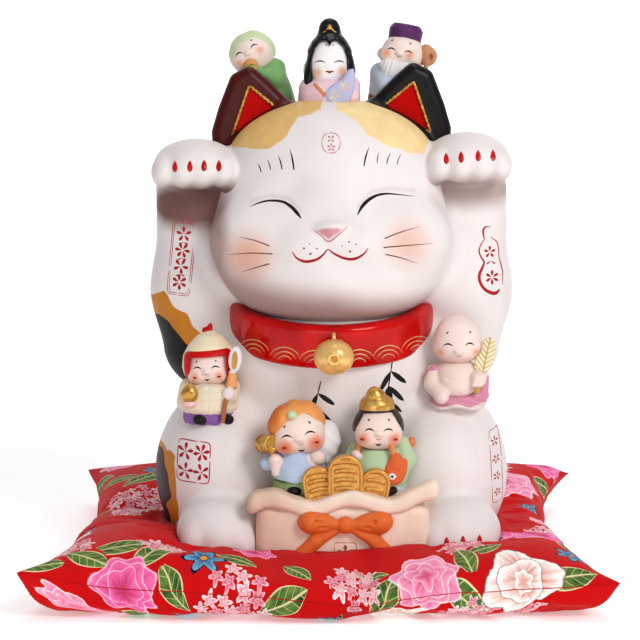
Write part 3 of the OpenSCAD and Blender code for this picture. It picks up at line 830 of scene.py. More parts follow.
def side_box(s, near, far, low, high):
    """Corners of a box on side s, from near to far in x. low and high are its (y, z) ends."""
    x_low, x_high = sorted((s * near, s * far))
    return (x_low, *low), (x_high, *high)


def add_cat(white, paints):
    box_low, box_high = np.array([-96, -80, -1.5]), np.array([96, 76, 129])
    patches = {
        "thigh_brown": lambda p: np.minimum(side_patch(p), back_patch(p)),
        "thigh_orange": lambda p: np.minimum(np.where(p[:, 1] > 0, 50, blob(THIGH_ORANGE)(p)),
                                             np.minimum(back_patch(p),
                                                        side_patch(p) + 2.5 * (p[:, 1] < 0)) - 5),
    }
    clay("body_shell", body_with_slot, box_low, box_high, 1.3, white["body"], paint=patches)
    clay("head_shell", lambda p: np.maximum(head(p), 108 - p[:, 2]), (-72, -80, 112), (72, 56, 240), 1.05,
         white["head"], paint={"calico_left": blob(CALICO_LEFT), "calico_right": blob(CALICO_RIGHT),
                               "blush_left": blush(-42, 157, 10.5), "blush_right": blush(38, 163.5, 10),
                               "lids": lid_shade, "nose": nose_patch, "warm": cheek_shade})
    shades = {"left_shade": left_paw_shade, "right_shade": right_paw_shade}
    arm_paint = {"arm_orange": arm_patch(ARM_ORANGE, 20), "arm_black": arm_patch(ARM_BLACK, 14), **shades}
    for s, name in ((-1, "left"), (1, "right")):
        z = PAW_Z[s]
        clay(name + "_arm", lambda p, s=s: luted(arm(p, s), np.minimum(body(p), head(p)), 9, 14),
             *side_box(s, 34, 98, (-32, 74), (36, 214)), 1.1, white["arm"], paint=arm_paint)
        clay(name + "_paw", lambda p, s=s, z=z: luted(paw(p, s, z), np.minimum(arm(p, s), head(p)), 3.5, 6),
             *side_box(s, 44, 98, (-50, z - 22), (20, z + 20)), 0.8, white["paw"], paint=shades)
        clay(name + "_ear", lambda p, s=s: luted(ear(p, s), head(p), 5, 8),
             *side_box(s, 14, 70, (-16, 200), (14, 260)), 0.75,
             paints["black" if s > 0 else "maroon"], slot="black_glaze" if s > 0 else "brown_glaze")
        clay(name + "_ear_inner", lambda p, s=s: ear_inner(p, s),
             *side_box(s, 14, 70, (-14, 208), (4, 252)), 0.7, paints["ear_red"], slot="red_glaze")
        rope(name + "_ear_trim", ear_rim(s), 0.75, paints["trim_gold"])
        clay(name + "_foot", lambda p, s=s: luted(foot(p, s), body(p), 5, 8),
             (38 if s > 0 else -84, -98, -2), (92 if s > 0 else -30, -30, 40), 1.0, white["foot"])
    clay("tail", lambda p: luted(tail(p), body(p), 6, 8), (-12, 36, -2), (50, 88, 38), 1.1, paints["maroon"],
         slot="brown_glaze")
    clay("base_disc", base_ring, (-43, -39, 12), (43, 47, 21), 0.8, white["raw"])
    clay("bottom_stopper", stopper, (-17, -13, 10), (17, 21, 23), 0.4, white["rubber"], slot="rubber_stopper",
         body="stopper")
    clay("collar", collar, (-60, -66, 96), (60, 54, 144), 0.95, paints["collar_red"], slot="red_glaze")
    clay("bell", bell, (-11, -78, 94), (13, -52, 121), 0.45, paints["bell_gold"], slot="gold_paint")


def white_clays():
    white = rgb(234, 226, 224)
    orange, black, brown = rgb(204, 128, 34), rgb(14, 11, 9), rgb(60, 14, 8)
    pink = rgb(222, 140, 92)
    # Painted shadow under the paws, on the arm and paw clay: deep brown on the left, paler on the right.
    shades = [("left_shade", rgb(100, 50, 36), 6.0, 0.92), ("right_shade", rgb(128, 84, 68), 6.0, 0.6)]
    return {
        "body": bisque("white_body", white,
                       [("thigh_orange", orange, 0.25, 1), ("thigh_brown", brown, 0.25, 1)]),
        # On the head, warm is a painted shade round the face's left edge and under the chin, lids a painted
        # shadow above the eyes.
        "head": bisque("white_head", white, [("warm", rgb(140, 90, 78), 9.0, 0.72),
                                             ("calico_left", rgb(232, 188, 118), 0.5, 1),
                                             ("calico_right", rgb(250, 220, 160), 0.5, 1),
                                             ("blush_left", pink, 8.0, 0.66), ("blush_right", pink, 8.0, 0.5),
                                             ("lids", rgb(160, 124, 104), 2.6, 0.6),
                                             ("nose", rgb(206, 140, 146), 0.9, 0.95)]),
        "arm": bisque("white_arm", white,
                      shades + [("arm_orange", orange, 0.25, 1), ("arm_black", black, 0.25, 1)]),
        "paw": bisque("white_paw", white, shades), "foot": bisque("white_foot", white),
        "raw": bisque("raw_clay", rgb(222, 206, 190), roughness=0.7, shade=0.8, sheen=0.1),
        "rubber": bisque("stopper_rubber", rgb(58, 58, 60), roughness=0.62, shade=0.8, sheen=0.25),
    }


def clay_paints():
    return {
        "maroon": bisque("maroon_paint", rgb(72, 14, 8), roughness=0.4),
        "black": bisque("black_paint", rgb(20, 18, 20), roughness=0.38),
        "ear_red": bisque("ear_red_paint", rgb(186, 0, 2), roughness=0.4, sheen=0.05),
        "collar_red": glaze("collar_glaze", rgb(214, 4, 6), rgb(160, 0, 2), 0.2),
        "gold": gold_lustre("gold_lustre", rgb(238, 182, 92), rgb(176, 108, 44), 0.5, 0.3, 1.3),
        "bell_gold": gold_lustre("bell_gold", rgb(252, 216, 140), rgb(226, 168, 84), 0.4, 0.22, 0.7),
        "trim_gold": gold_lustre("trim_gold", rgb(226, 176, 84), rgb(150, 96, 34), 0.6),
        # On the bag, left_shade is a painted shade darker towards its left side, foot_glow a painted reddish
        # glow low down.
        "bag": bisque("bag_clay", rgb(247, 224, 204), [("left_shade", rgb(216, 176, 152), 16, 0.7),
                                                       ("foot_glow", rgb(236, 160, 136), 7, 0.5)]),
        "orange": bisque("bow_clay", rgb(224, 108, 50), roughness=0.42),
    }


# ---------------------------------------------------------------- the cat's painted marks
def add_face_marks(inks):
    lines = Brush(head)
    lines.stroke([(-41.5, 181.4, 0.25), (-36.5, 183.4, 0.9), (-31.5, 184.4, 1.2), (-25, 184, 1.5),
                  (-20.5, 181.6, 1.9), (-17.5, 178.6, 2.0), (-15.5, 176, 0.5)])
    lines.stroke([(12.8, 177.8, 0.6), (15.2, 181.8, 1.9), (18.6, 185, 2.0), (23.2, 187.2, 1.5),
                  (28.5, 187.8, 1.1), (34, 187.3, 0.7), (41.5, 186.4, 0.2)])
    for (x, z), (foot_x, foot_z), width in (
            ((-37.8, 202.7), (-36, 198.5), 0.9), ((-32.8, 204.8), (-31.1, 199.6), 0.8),
            ((-27.3, 207), (-25.2, 200.1), 1.0), ((-21.3, 210.2), (-19.2, 199.9), 1.3),
            ((18.9, 211.4), (16.2, 201.9), 1.2), ((24.1, 208.8), (22.9, 203), 0.7),
            ((30, 208.4), (27.8, 202.6), 0.8), ((35.5, 207.8), (33.2, 202.3), 0.7)):
        bow = 0.3 if x < 0 else -0.3
        lines.stroke([(x, z, 0.15), (x * 0.5 + foot_x * 0.5 + bow, (z + foot_z) / 2, width * 0.8),
                      (foot_x, foot_z, width * 0.6)])
    lines.done("face_lines", inks["black"])

    whiskers = Brush(head, 0.12)
    for rows in (((-46.8, 166.4), (-39.2, 165), (-31.4, 162.3)),
                 ((-52.6, 157), (-41.2, 158.4), (-29.8, 158.2)),
                 ((-45.6, 148.2), (-38.2, 151), (-31.5, 153.1)), ((44.2, 171.7), (34.2, 169), (26.4, 166.1)),
                 ((51.2, 163), (38.3, 162.4), (25.8, 161.6)), ((43.5, 152.8), (34.7, 156.1), (26.9, 158.1))):
        whiskers.stroke([point + (width,) for point, width in zip(rows, (0.15, 0.65, 0.8))])
    for x, z, size in ((-11.2, 163.8, 0.7), (-14, 161.6, 1.1), (-7.5, 161.5, 0.9), (-10.8, 158.8, 1.2),
                       (5, 162.7, 0.7), (8.5, 164.7, 0.9), (12, 163.5, 0.8), (9, 160, 1.2)):
        whiskers.dot(x, z, size)
    whiskers.done("whiskers", inks["umber"])

    mouth = Brush(head, 0.16)
    mouth.stroke([(-19.9, 159.6, 0.5), (-17.4, 156.4, 1.1), (-13, 154.8, 1.7), (-7.5, 156, 1.5),
                  (-4, 158.8, 1.0), (-2, 160.9, 0.7), (1, 158.9, 1.1), (6, 156.6, 1.5), (11, 156.2, 1.6),
                  (15.5, 158.4, 1.1), (18.1, 161.6, 0.4)])
    mouth.done("mouth_line", inks["crimson"])

    nose = Brush(head, 0.1)
    nose.stroke([(-10.2, 171.1, 0.2), (-6, 168.2, 0.7), (-1.7, 165, 0.8), (3, 168.2, 0.7), (7.8, 172.3, 0.2)])
    nose.done("nose_line", inks["rose"])

    seal = Brush(head, 0.08)
    seal.frame(-0.4, 213.4, 9.2, 10, 0, 0.6, (0.05, 0.3, 0.46, 0.7, 0.86), 2.3)
    seal.blossom(-0.5, 215.5, 2.1, 4, 45, 0.5)
    seal.blossom(-0.3, 211.2, 2.2, 5, 90, 0.5)
    seal.done("forehead_seal", inks["rose"])


def add_seals(inks):
    """Red framed seals on the arms and knees, filled with blossoms."""
    on_left_arm = Brush(lambda p: arm(p, -1), 0.1)
    for wide, high, width in ((12.6, 38.6, 0.5), (10.8, 36.6, 0.45)):
        on_left_arm.frame(-78.4, 152.6, wide, high, 5.5, width, (0.08, 0.24, 0.33, 0.55, 0.74, 0.9))
    for k in range(4):
        z = 165 - 8.3 * k
        x = -77.2 - 0.8 * k
        on_left_arm.blossom(x, z, 4.1, 5 + k % 2, 90 + 20 * k, 0.5)
        if k < 3:
            on_left_arm.petal(x - 0.3, z - 4.2, 2.6, 1.0, 200)
            on_left_arm.petal(x - 0.3, z - 4.2, 2.6, 1.0, -20)
    on_left_arm.done("left_arm_seal", inks["seal"])

    gourd = Brush(lambda p: arm(p, 1), 0.14)
    gourd.stroke([(83.6, 168.6, 0.2), (81, 168.9, 0.9), (79.4, 167.2, 1.3), (79.6, 164, 1.0),
                  (80, 162.4, 0.6), (78.2, 159.6, 0.7), (77.2, 156.4, 0.9), (78.2, 153.2, 1.0),
                  (79.8, 150.6, 1.2), (78.8, 147.4, 1.6), (77.4, 144.4, 1.8), (77.4, 141, 1.8),
                  (79.4, 137.2, 1.8), (82.6, 134.8, 2.0), (86, 134, 2.2), (88.6, 135.8, 0.8)])
    gourd.stroke([(83.6, 164, 0.2), (84.4, 162.6, 0.5), (86.8, 160.8, 0.7), (88, 157, 0.7),
                  (88.2, 152.6, 0.6), (89.4, 148.4, 0.8), (90.2, 144, 0.7), (90, 138.2, 0.4)])
    gourd.blossom(83, 155.6, 3.2, 5, 90, 0.5)
    gourd.blossom(84.2, 142.4, 3.8, 6, 90, 0.46)
    gourd.petal(83.6, 151, 3.0, 1.0, 215)
    gourd.petal(83.6, 151, 3.0, 1.0, -35)
    gourd.done("right_arm_gourd", inks["seal"])

    knees = Brush(body, 0.12)
    knees.frame(-70.6, 51.4, 17.2, 20.4, 2, 0.7)
    for x in (-75, -66.4):
        for z in (56.2, 46.6):
            knees.blossom(x, z, 4.4, 6 if (x + z > -15) else 5, 90 + x * 3, 0.46)
            knees.dot(x, z, 0.9)
    knees.frame(85.4, 46, 6.4, 37, -3, 0.5)
    for k in range(4):
        knees.blossom(84.6 + 0.5 * k, 59 - 8.6 * k, 2.3, 5, 90 + 30 * k, 0.5)
    knees.done("knee_seals", inks["seal"])


def add_small_marks(inks):
    nails = {"left_paw": (lambda p: paw(p, -1, PAW_Z[-1]),
                          [(-80.2, 201), (-72.4, 201.2), (-65.2, 201.5), (-57.8, 201.3)]),
             "right_paw": (lambda p: paw(p, 1, PAW_Z[1]),
                           [(58.6, 205), (66, 205.8), (74.7, 206.6), (82.6, 206.6)]),
             "right_foot": (lambda p: foot(p, 1), [(57, 16), (65, 17), (73.4, 17)])}
    for name, (field, places) in nails.items():
        brush = Brush(field, 0.3)
        for x, z in places:
            brush.stroke([(x, z + 2.9, 0.5), (x, z + 1.6, 2.1), (x, z - 0.4, 3.0), (x, z - 1.9, 2.4),
                          (x, z - 2.7, 0.6)])
        brush.done(name + "_nails", inks["gloss_nail"])

    spray = Brush(body, 0.12)
    spray.leafy(-5.5, 92, 5, 7.4, 11.5, -14)
    spray.leafy(31.5, 103, 6, 7.6, 11.5, -9)
    spray.done("belly_spray", inks["black"])

    waves = Brush(collar, 0.1)
    for x in (-40, -24, -8.6, 14, 29, 44):
        z = COLLAR_AT[2] - math.sqrt(max(54 ** 2 - x * x, 0)) * 0.21 - 7.6
        for radius in (3.6, 6.0, 8.4):
            waves.stroke([(x + radius * math.cos(t), z + radius * 0.95 * math.sin(t),
                           0.5 * math.sin(math.pi * k
                                          / 8) + 0.1) for k, t in enumerate(np.linspace(0.35, 2.8, 9))])
    waves.done("collar_waves", inks["pale_gold"])

    coin_mark = Brush(bag, 0.1)
    coin_mark.frame(6.6, 10.2, 11, 10.6, 0, 0.6)
    coin_mark.blossom(6.6, 10.2, 4.2, 5, 90, 0.56)
    coin_mark.done("bag_mark", inks["gold"])


# ---------------------------------------------------------------- money bag
BAG_X, BAG_W, BAG_FRONT, BAG_BACK, BAG_H = 5.5, 87.5, -88, -46, 33
MOUTH_W, DECK_Z = 94.6, 38
KNOT = (6.6, BAG_FRONT - 2.6, 25)


def lip_wave(x):
    t = (x - BAG_X) / MOUTH_W + 0.5
    return 2.6 * (np.cos(np.radians((t - 0.54) * 860)) + 2.0 * np.clip(t, 0, 1.05) ** 5)


def bag(p):
    belly = 1.2 * np.cos(np.clip((p[:, 2] - 13) / 16, -1.5, 1.5))
    d = block(p, (BAG_X, (BAG_FRONT + BAG_BACK) / 2, BAG_H / 2 + 0.5),
              (BAG_W / 2 - 0.6, (BAG_BACK - BAG_FRONT) / 2 - 0.6, BAG_H / 2 + 0.5), 5) - belly * 0.5
    gather = np.clip((p[:, 2] - 16) / 14, 0, 1) ** 2
    return d + 0.35 * gather * np.cos(p[:, 0] * 0.52 + 0.8 * np.sin(p[:, 0] * 0.17))


def bag_mouth(p):
    q = p.copy()
    q[:, 2] -= lip_wave(p[:, 0]) * np.clip((-60 - p[:, 1]) / 22, 0, 1)
    lip_z = (BAG_H + DECK_Z) / 2 + 0.3
    ends = np.clip(np.abs(p[:, 0] - BAG_X) / (MOUTH_W / 2) - 0.5, 0, 0.5) * 2.4
    lip = block(q, (BAG_X, BAG_FRONT + 3, lip_z - 0.9), (MOUTH_W / 2 - 0.5, 5.6, 4.0), 3.2) - ends
    deck = block(q, (BAG_X, -66, lip_z + 0.2), (MOUTH_W / 2 - 1.5, 18, 2.2), 2)
    d = join(lip, deck, 3)
    return d + 0.25 * np.cos(p[:, 0] * 0.5 + p[:, 1] * 0.1)


def bow(p):
    x, y, z = KNOT
    d = egg(p, KNOT, (4.6, 3.8, 4.4))
    for s in SIDES:
        loop = join(bone(p, (x + 3 * s, y, z + 0.2), (x + 17.5 * s, y + 0.6, z + 1.2), 2.1, 5.6),
                    egg(p, (x + 14 * s, y + 0.8, z + 0.8), (9.6, 3.6, 5.4), -6 * s), 2)
        for rise, far in ((2.4, 14.5), (-0.9, 12)):
            slit = bone(p, (x + 4.5 * s, y - 4.0, z + rise * 0.4), (x + far * s, y - 3.7, z + rise), 0.5, 0.9)
            loop = carve(loop, slit, 0.8)
        tail_a, tail_b = (x + 3 * s, y + 0.4, z - 2), (x + 15 * s, y + 0.9, z - 8.5)
        ribbon = join(bone(p, tail_a, tail_b, 1.8, 3.2),
                      bone(p, tail_b, (x + 27.0 * s, y + 1.4, z - 20.5), 3.4, 4.2), 2)
        d = join(join(d, loop, 0.9), ribbon, 0.9)
    return np.maximum(d, BAG_FRONT - 7.4 - p[:, 1])


def oval(x, z, wide, high):
    """Signed distance to an outline with a round head and an open straight foot."""
    top = high - wide / 2
    return np.where(z > top, np.hypot(x, z - top), np.abs(x)) - wide / 2


def coin(p, at, wide, high, lean):
    q = turned_about_y(p, at, lean) - np.asarray(at, float)
    flat = oval(q[:, 0], q[:, 2], wide, high)
    deep = np.abs(q[:, 1]) - 2.6 + 0.5 * np.clip(-flat / 9, 0, 1)
    d = np.hypot(np.maximum(flat + 1, 0), np.maximum(deep + 1, 0)) + np.minimum(np.maximum(flat, deep) + 1,
                                                                                0) - 1
    dish = np.maximum(flat + 1.7, q[:, 1] + 1.5)
    d = carve(d, dish, 0.5)
    arch = q[:, 2] + q[:, 0] ** 2 * 0.03
    bars = np.abs((arch + 1.6) % 4.4 - 2.2) - 0.85
    bars = np.maximum.reduce([bars, np.abs(q[:, 0]) - wide * 0.3, flat + 2.0, np.abs(q[:, 1] + 1.4) - 1.1])
    return np.maximum(join(d, bars, 0.7), -q[:, 2] - 0.5)


def add_bag(paints):
    x_low, x_high = BAG_X - MOUTH_W / 2 - 2, BAG_X + MOUTH_W / 2 + 2
    # Painted shade darker towards the bag's left side, and a painted reddish glow low on the bag.
    shade = {
        "left_shade": lambda p: p[:, 0] + 22 - 0.25 * (p[:, 2] - 20),
        "foot_glow": lambda p: p[:, 2] - 9 + 1.2 * np.sin(p[:, 0] * 0.11),
    }
    clay("money_bag", bag, (x_low, -92, -1), (x_high, -42, 37), 0.85, paints["bag"], slot="bag_bisque",
         paint=shade)
    clay("bag_mouth", bag_mouth, (x_low, -94, 27), (x_high, -44, 47), 0.7, paints["bag"], slot="bag_bisque",
         paint=shade)
    clay("bag_bow", bow, (-22, -96.5, 0), (35, -86, 34), 0.5, paints["orange"], slot="orange_glaze")
    coin_y = BAG_FRONT + 7.2
    for name, at, wide, high, lean in (("left_coin", (-5.6, coin_y - 1.1, DECK_Z - 1), 15.4, 16.4, -11),
                                       ("middle_coin", (6.7, coin_y - 3.6, DECK_Z), 17.8, 21.4, 0),
                                       ("right_coin", (20.4, coin_y - 1.1, DECK_Z - 1), 15.0, 15.2, 11)):
        x, y, z = at
        clay(name, lambda p, a=(at, wide, high, lean): coin(p, *a), (x - 12, y - 4, z - 2),
             (x + 12, y + 4, z + 24), 0.45, paints["gold"], slot="gold_paint")


# ---------------------------------------------------------------- cushion
PAD_LOW, PAD_HIGH = (np.array(corner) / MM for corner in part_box("cushion"))
PAD_MID, PAD_HALF = (PAD_LOW + PAD_HIGH)[:2] / 2, (PAD_HIGH - PAD_LOW)[:2] / 2
PAD_CELLS = 84
SEAM_Z, CROWN_Z, FRONT_DIP = 12.0, 27.5, 6.0


def pressing(p):
    """Everything of the figurine that can touch the cushion."""
    low = p[:, 2].min() < 44
    parts = [body(p), tail(p), bag(p)] + [foot(p, s) for s in SIDES] if low else [body(p)]
    return np.minimum.reduce(parts)


def underside(x, y):
    """How high over the foot plane the figurine's surface is above each place; 99 where it is not."""
    p = np.stack([x, y, np.full(len(x), -6.0)], 1)
    for _ in range(40):
        p[:, 2] += np.clip(pressing(p), 0, 30) * 0.8
        p[:, 2] = np.minimum(p[:, 2], 40)
    return np.where(pressing(p) < 0.4, p[:, 2], 99.0)


def pad_outline(u, v):
    """The sewn edge: a square whose sides pull in between its drawn-out corners."""
    def pull(t, deep):
        return 1 - deep * (1 - t * t)
    right_back, left_back = (np.maximum(s * u, 0) ** 3 * np.maximum(v, 0) ** 3 for s in (1, -1))
    tip = 1 + 0.03 * (u * v) ** 6
    x = u * tip * PAD_HALF[0] * pull(v, 0.09) + 8 * right_back + 3 * left_back
    y = v * tip * PAD_HALF[1] * pull(u, np.where(v < 0, 0.015, 0.08)) + 5 * (right_back + left_back)
    return PAD_MID[0] + x, PAD_MID[1] + y


def pad_sheets():
    """Both sheets of the cushion before it is filled: points in world mm, quads, print places, pins."""
    n = PAD_CELLS + 1
    t = np.linspace(-1, 1, n)
    t = np.sign(t) * np.abs(t) ** 0.93
    u, v = (g.ravel() for g in np.meshgrid(t, t, indexing="ij"))
    x, y = pad_outline(u, v)
    reach = np.maximum(np.abs(u), np.abs(v))
    front = np.clip(-1.6 * v - 0.5, 0, 1)
    seam = SEAM_Z - 6.5 * front * (1 - (u * v) ** 4) + (13 - 7 * front * (u > 0)) * (u * v) ** 4
    full = ((1 - np.abs(u) ** 5) * (1 - np.abs(v) ** 6)) ** 0.5
    dip = FRONT_DIP * np.clip(-v * 3 - 1, 0, 1) * np.clip(1.5 - np.abs(u) * 3, 0, 1)
    top = seam + np.maximum(CROWN_Z - dip - seam, 1) * full
    pressed = underside(x - CAT_AT[0], y - CAT_AT[1]) + CAT_AT[2] - 0.4
    under_cat = pressed < top
    top = np.minimum(top, pressed)
    corner = np.abs(u * v) ** 1.7
    start = 0.94 + 0.03 * front * (1 - corner) - 0.32 * corner
    low = seam * np.clip((reach - start) / (1 - start), 0, 1) ** (1.3 + 0.6 * corner)
    belly = 1 + (0.07 + 0.13 * front) * (1 - 0.7 * corner) * np.sin(math.pi
                                                                    * np.clip((reach - 0.75) / 0.25, 0, 1))
    edge = reach > 1 - 1e-9
    index_low = np.where(edge, np.arange(n * n), n * n + np.cumsum(~edge) - 1)
    upper = np.stack([x, y, top], 1)
    lower = np.stack([PAD_MID[0] + (x - PAD_MID[0]) * belly, PAD_MID[1] + (y - PAD_MID[1]) * belly, low],
                     1)[~edge]
    print_x, print_y = u * PAD_HALF[0], v * PAD_HALF[1]
    past = (2 - reach) / np.maximum(reach, 0.35)
    fabric = np.vstack([np.stack([print_x, print_y], 1),
                        np.stack([print_x * past, print_y * past], 1)[~edge]])
    i, j = (g.ravel() for g in np.meshgrid(np.arange(n - 1), np.arange(n - 1), indexing="ij"))
    a, b, c, d = i * n + j, (i + 1) * n + j, (i + 1) * n + j + 1, i * n + j + 1
    quads = np.vstack([np.stack([a, b, c, d], 1), index_low[np.stack([d, c, b, a], 1)]])
    held = np.concatenate([under_cat, (reach < 0.8)[~edge]])
    sewn = np.concatenate([edge, np.zeros((~edge).sum(), bool)])
    return np.vstack([upper, lower]), quads, fabric, held, sewn


def fill_pad(obj, points, held, most=9.0):
    """Blows the sheets up as cloth and returns where the points end, none moved by more than most mm."""
    group = obj.vertex_groups.new(name="held")
    group.add(np.nonzero(held)[0].tolist(), 1.0, "REPLACE")
    cloth = obj.modifiers.new("filling", "CLOTH")
    settings = cloth.settings
    settings.quality, settings.mass, settings.air_damping = 5, 0.2, 2.0
    settings.tension_stiffness = settings.compression_stiffness = 9
    settings.shear_stiffness, settings.bending_stiffness = 4, 0.12
    settings.use_pressure, settings.uniform_pressure_force = True, 4.0
    settings.vertex_group_mass = "held"
    settings.shrink_min = -0.04
    settings.effector_weights.gravity = 0
    cloth.collision_settings.use_collision = False
    for step in range(1, 21):
        bpy.context.scene.frame_set(step)
    shaped = obj.evaluated_get(bpy.context.evaluated_depsgraph_get()).to_mesh()
    ends = np.empty(len(points) * 3)
    shaped.vertices.foreach_get("co", ends)
    obj.modifiers.remove(cloth)
    move = ends.reshape(-1, 3) / MM - points
    far = np.linalg.norm(move, axis=1, keepdims=True)
    return points + move * np.minimum(1, most / np.maximum(far, 1e-6))


def clear_of_figurine(p, gap=0.5):
    """Points moved so that they stay out of the figurine and on the floor."""
    for _ in range(3):
        q = p - CAT_AT
        short = gap - pressing(q)
        close = short > 0
        if close.any():
            p[close] += slope_of(pressing, q[close]) * short[close, None]
        p[:, 2] = np.maximum(p[:, 2], 0.0)
    return p


# Where the printed flowers lie on the cloth, in mm from its middle: x, y, size, turn, kind
PEONIES = [(51, -129, 18, 20, 0), (-93, -137, 16, 70, 2), (112, 66, 22, 10, 0), (118, -70, 25, 140, 2),
           (97, -134, 21, 200, 1), (42, -154, 14, 50, 1), (-34, -96, 12, 0, 2), (-118, 120, 15, 30, 0),
           (10, 118, 20, 80, 0), (-62, 104, 17, 150, 2), (72, 112, 18, 40, 1), (126, 122, 14, 0, 2),
           (-132, -70, 13, 60, 1), (-8, -172, 16, 10, 2), (-128, -150, 14, 90, 0), (138, -6, 15, 60, 0)]
BLUE_FLOWERS = [(-57, -121, 11.5, 10), (-84, -12, 10, 40), (-124, -42, 9, 0), (124, -112, 9, 20),
                (92, 20, 9, 50), (-30, 122, 10, 15), (44, 126, 9, 30), (-100, 84, 8.5, 0), (4, -148, 8, 25),
                (126, 28, 8.5, 0), (-76, -160, 9, 40)]
SPRAYS = [(-40, -142, 17), (-110, 32, 19), (16, -126, 12), (72, -98, 11), (-80, -104, 10), (-20, 96, 15),
          (100, 98, 13), (-126, -104, 12), (76, -150, 12), (130, -34, 11), (-112, -8, 9), (40, 98, 12),
          (-52, -166, 13), (112, -162, 12), (22, -166, 10)]
LEAVES = [(-98, -112, 17, 20), (-82, -118, 15, 60), (-112, -122, 13, -30), (-106, 66, 17, 40),
          (-120, 76, 14, -20), (30, -136, 13, 55), (24, -121, 10, -10), (72, -120, 13, 100),
          (70, -140, 14, -30), (-70, -136, 12, 130), (128, -92, 14, 80), (96, 40, 15, 30),
          (92, 86, 14, 120), (-42, -116, 11, 160), (-128, 6, 14, 80), (-10, 108, 14, 40),
          (28, 108, 13, -40), (-44, 110, 14, 100), (56, 120, 13, 10), (-84, 96, 14, 60),
          (118, -132, 12, 10), (82, -112, 11, 30), (-18, -138, 12, 25), (-12, -120, 10, -50),
          (-132, -128, 13, 10), (134, 98, 12, 60), (-134, 98, 13, -40), (4, -160, 13, 60),
          (58, -166, 13, -10), (-104, -158, 14, 20)]


def small_blossoms():
    """Five-petalled blossoms crowded into each spray by the golden angle."""
    places = []
    for x, y, size in SPRAYS:
        count = int(size * 1.25)
        for k in range(count):
            turn, far = 2.4 * k + x, size * math.sqrt((k + 0.5) / count)
            places.append((x + far * math.cos(turn), y + far * math.sin(turn), 4.9 - 0.3 * (k % 4), 37 * k,
                           k % 2))
    return places + [(x, y, size, turn, 2) for x, y, size, turn in BLUE_FLOWERS]


def print_frames(mesh, fabric, name, places, reach=1.15):
    """Stores at each face corner its place in the nearest flower's own frame, and the flower's kind."""
    loops = np.empty(len(mesh.loops), int)
    mesh.loops.foreach_get("vertex_index", loops)
    corners = fabric[loops].reshape(-1, 4, 2)
    middle = corners.mean(1)
    best, value = np.full(len(middle), reach), np.full((len(middle), 4, 3), 9.0)
    for x, y, size, turn, kind in places:
        far = np.linalg.norm(middle - (x, y), axis=1) / size
        mine = far < best
        a = math.radians(turn)
        q = (corners[mine] - (x, y)) / size
        value[mine] = np.stack([q[..., 0] * math.cos(a) + q[..., 1] * math.sin(a),
                                q[..., 1] * math.cos(a) - q[..., 0] * math.sin(a), np.full(q.shape[:2],
                                                                                           kind)], -1)
        best = np.where(mine, far, best)
    layer = mesh.attributes.new(name, "FLOAT_VECTOR", "CORNER")
    layer.data.foreach_set("vector", value.ravel())


class Print(Paint):
    """The floral cloth. Each flower is drawn in its own frame, 1 being its outer edge."""

    def frame(self, name):
        node = self.tree.nodes.new("ShaderNodeSeparateXYZ")
        self.feed(node.inputs[0], self.attribute(name, "Vector"))
        x, y, kind = node.outputs
        far = self.math("SQRT", self.math("ADD", self.math("MULTIPLY", x, x), self.math("MULTIPLY", y, y)))
        ragged = self.math("MULTIPLY", self.math("SUBTRACT", self.noise(4, 4), 0.5), 0.22)
        far = self.math("ADD", far, self.math("MULTIPLY", ragged, far))
        return x, y, kind, far, self.math("ARCTAN2", y, x)

    def rim(self, turn, petals, base, depth, phase):
        swing = self.math("COSINE", self.math("ADD", self.math("MULTIPLY", turn, float(petals)), phase))
        return self.math("ADD", self.math("MULTIPLY", swing, depth), base)

    def streaks(self, turn, far):
        node = self.tree.nodes.new("ShaderNodeCombineXYZ")
        self.feed(node.inputs[0], self.math("MULTIPLY", turn, 7.0))
        self.feed(node.inputs[1], self.math("MULTIPLY", far, 1.6))
        return self.noise(1000, 2, node.outputs[0], 2.0)

    def bloom(self, under, far, turn, rings, deep, pale, edge, line=0.1):
        """Rings of petals laid over a colour, each deep at its foot and pale at its tips."""
        streak = self.streaks(turn, far)
        for petals, base, depth, phase in rings:
            part = self.math("DIVIDE", far, self.rim(turn, petals, base, depth, phase))
            light = self.math("ADD", self.math("MULTIPLY", part, part), self.math("MULTIPLY", streak, 0.7))
            tone = self.mix(self.math("SUBTRACT", light, depth, clamp=True), deep, pale)
            tone = self.mix(self.below(part, 1 - line, 0.04), edge, tone)
            under = self.mix(self.below(part, 1.0, 0.03), under, tone)
        return under

    def only(self, kind, number, over, under):
        """over where the kind is that number, under elsewhere."""
        return self.mix(self.math("COMPARE", kind, float(number), 0.4), under, over)


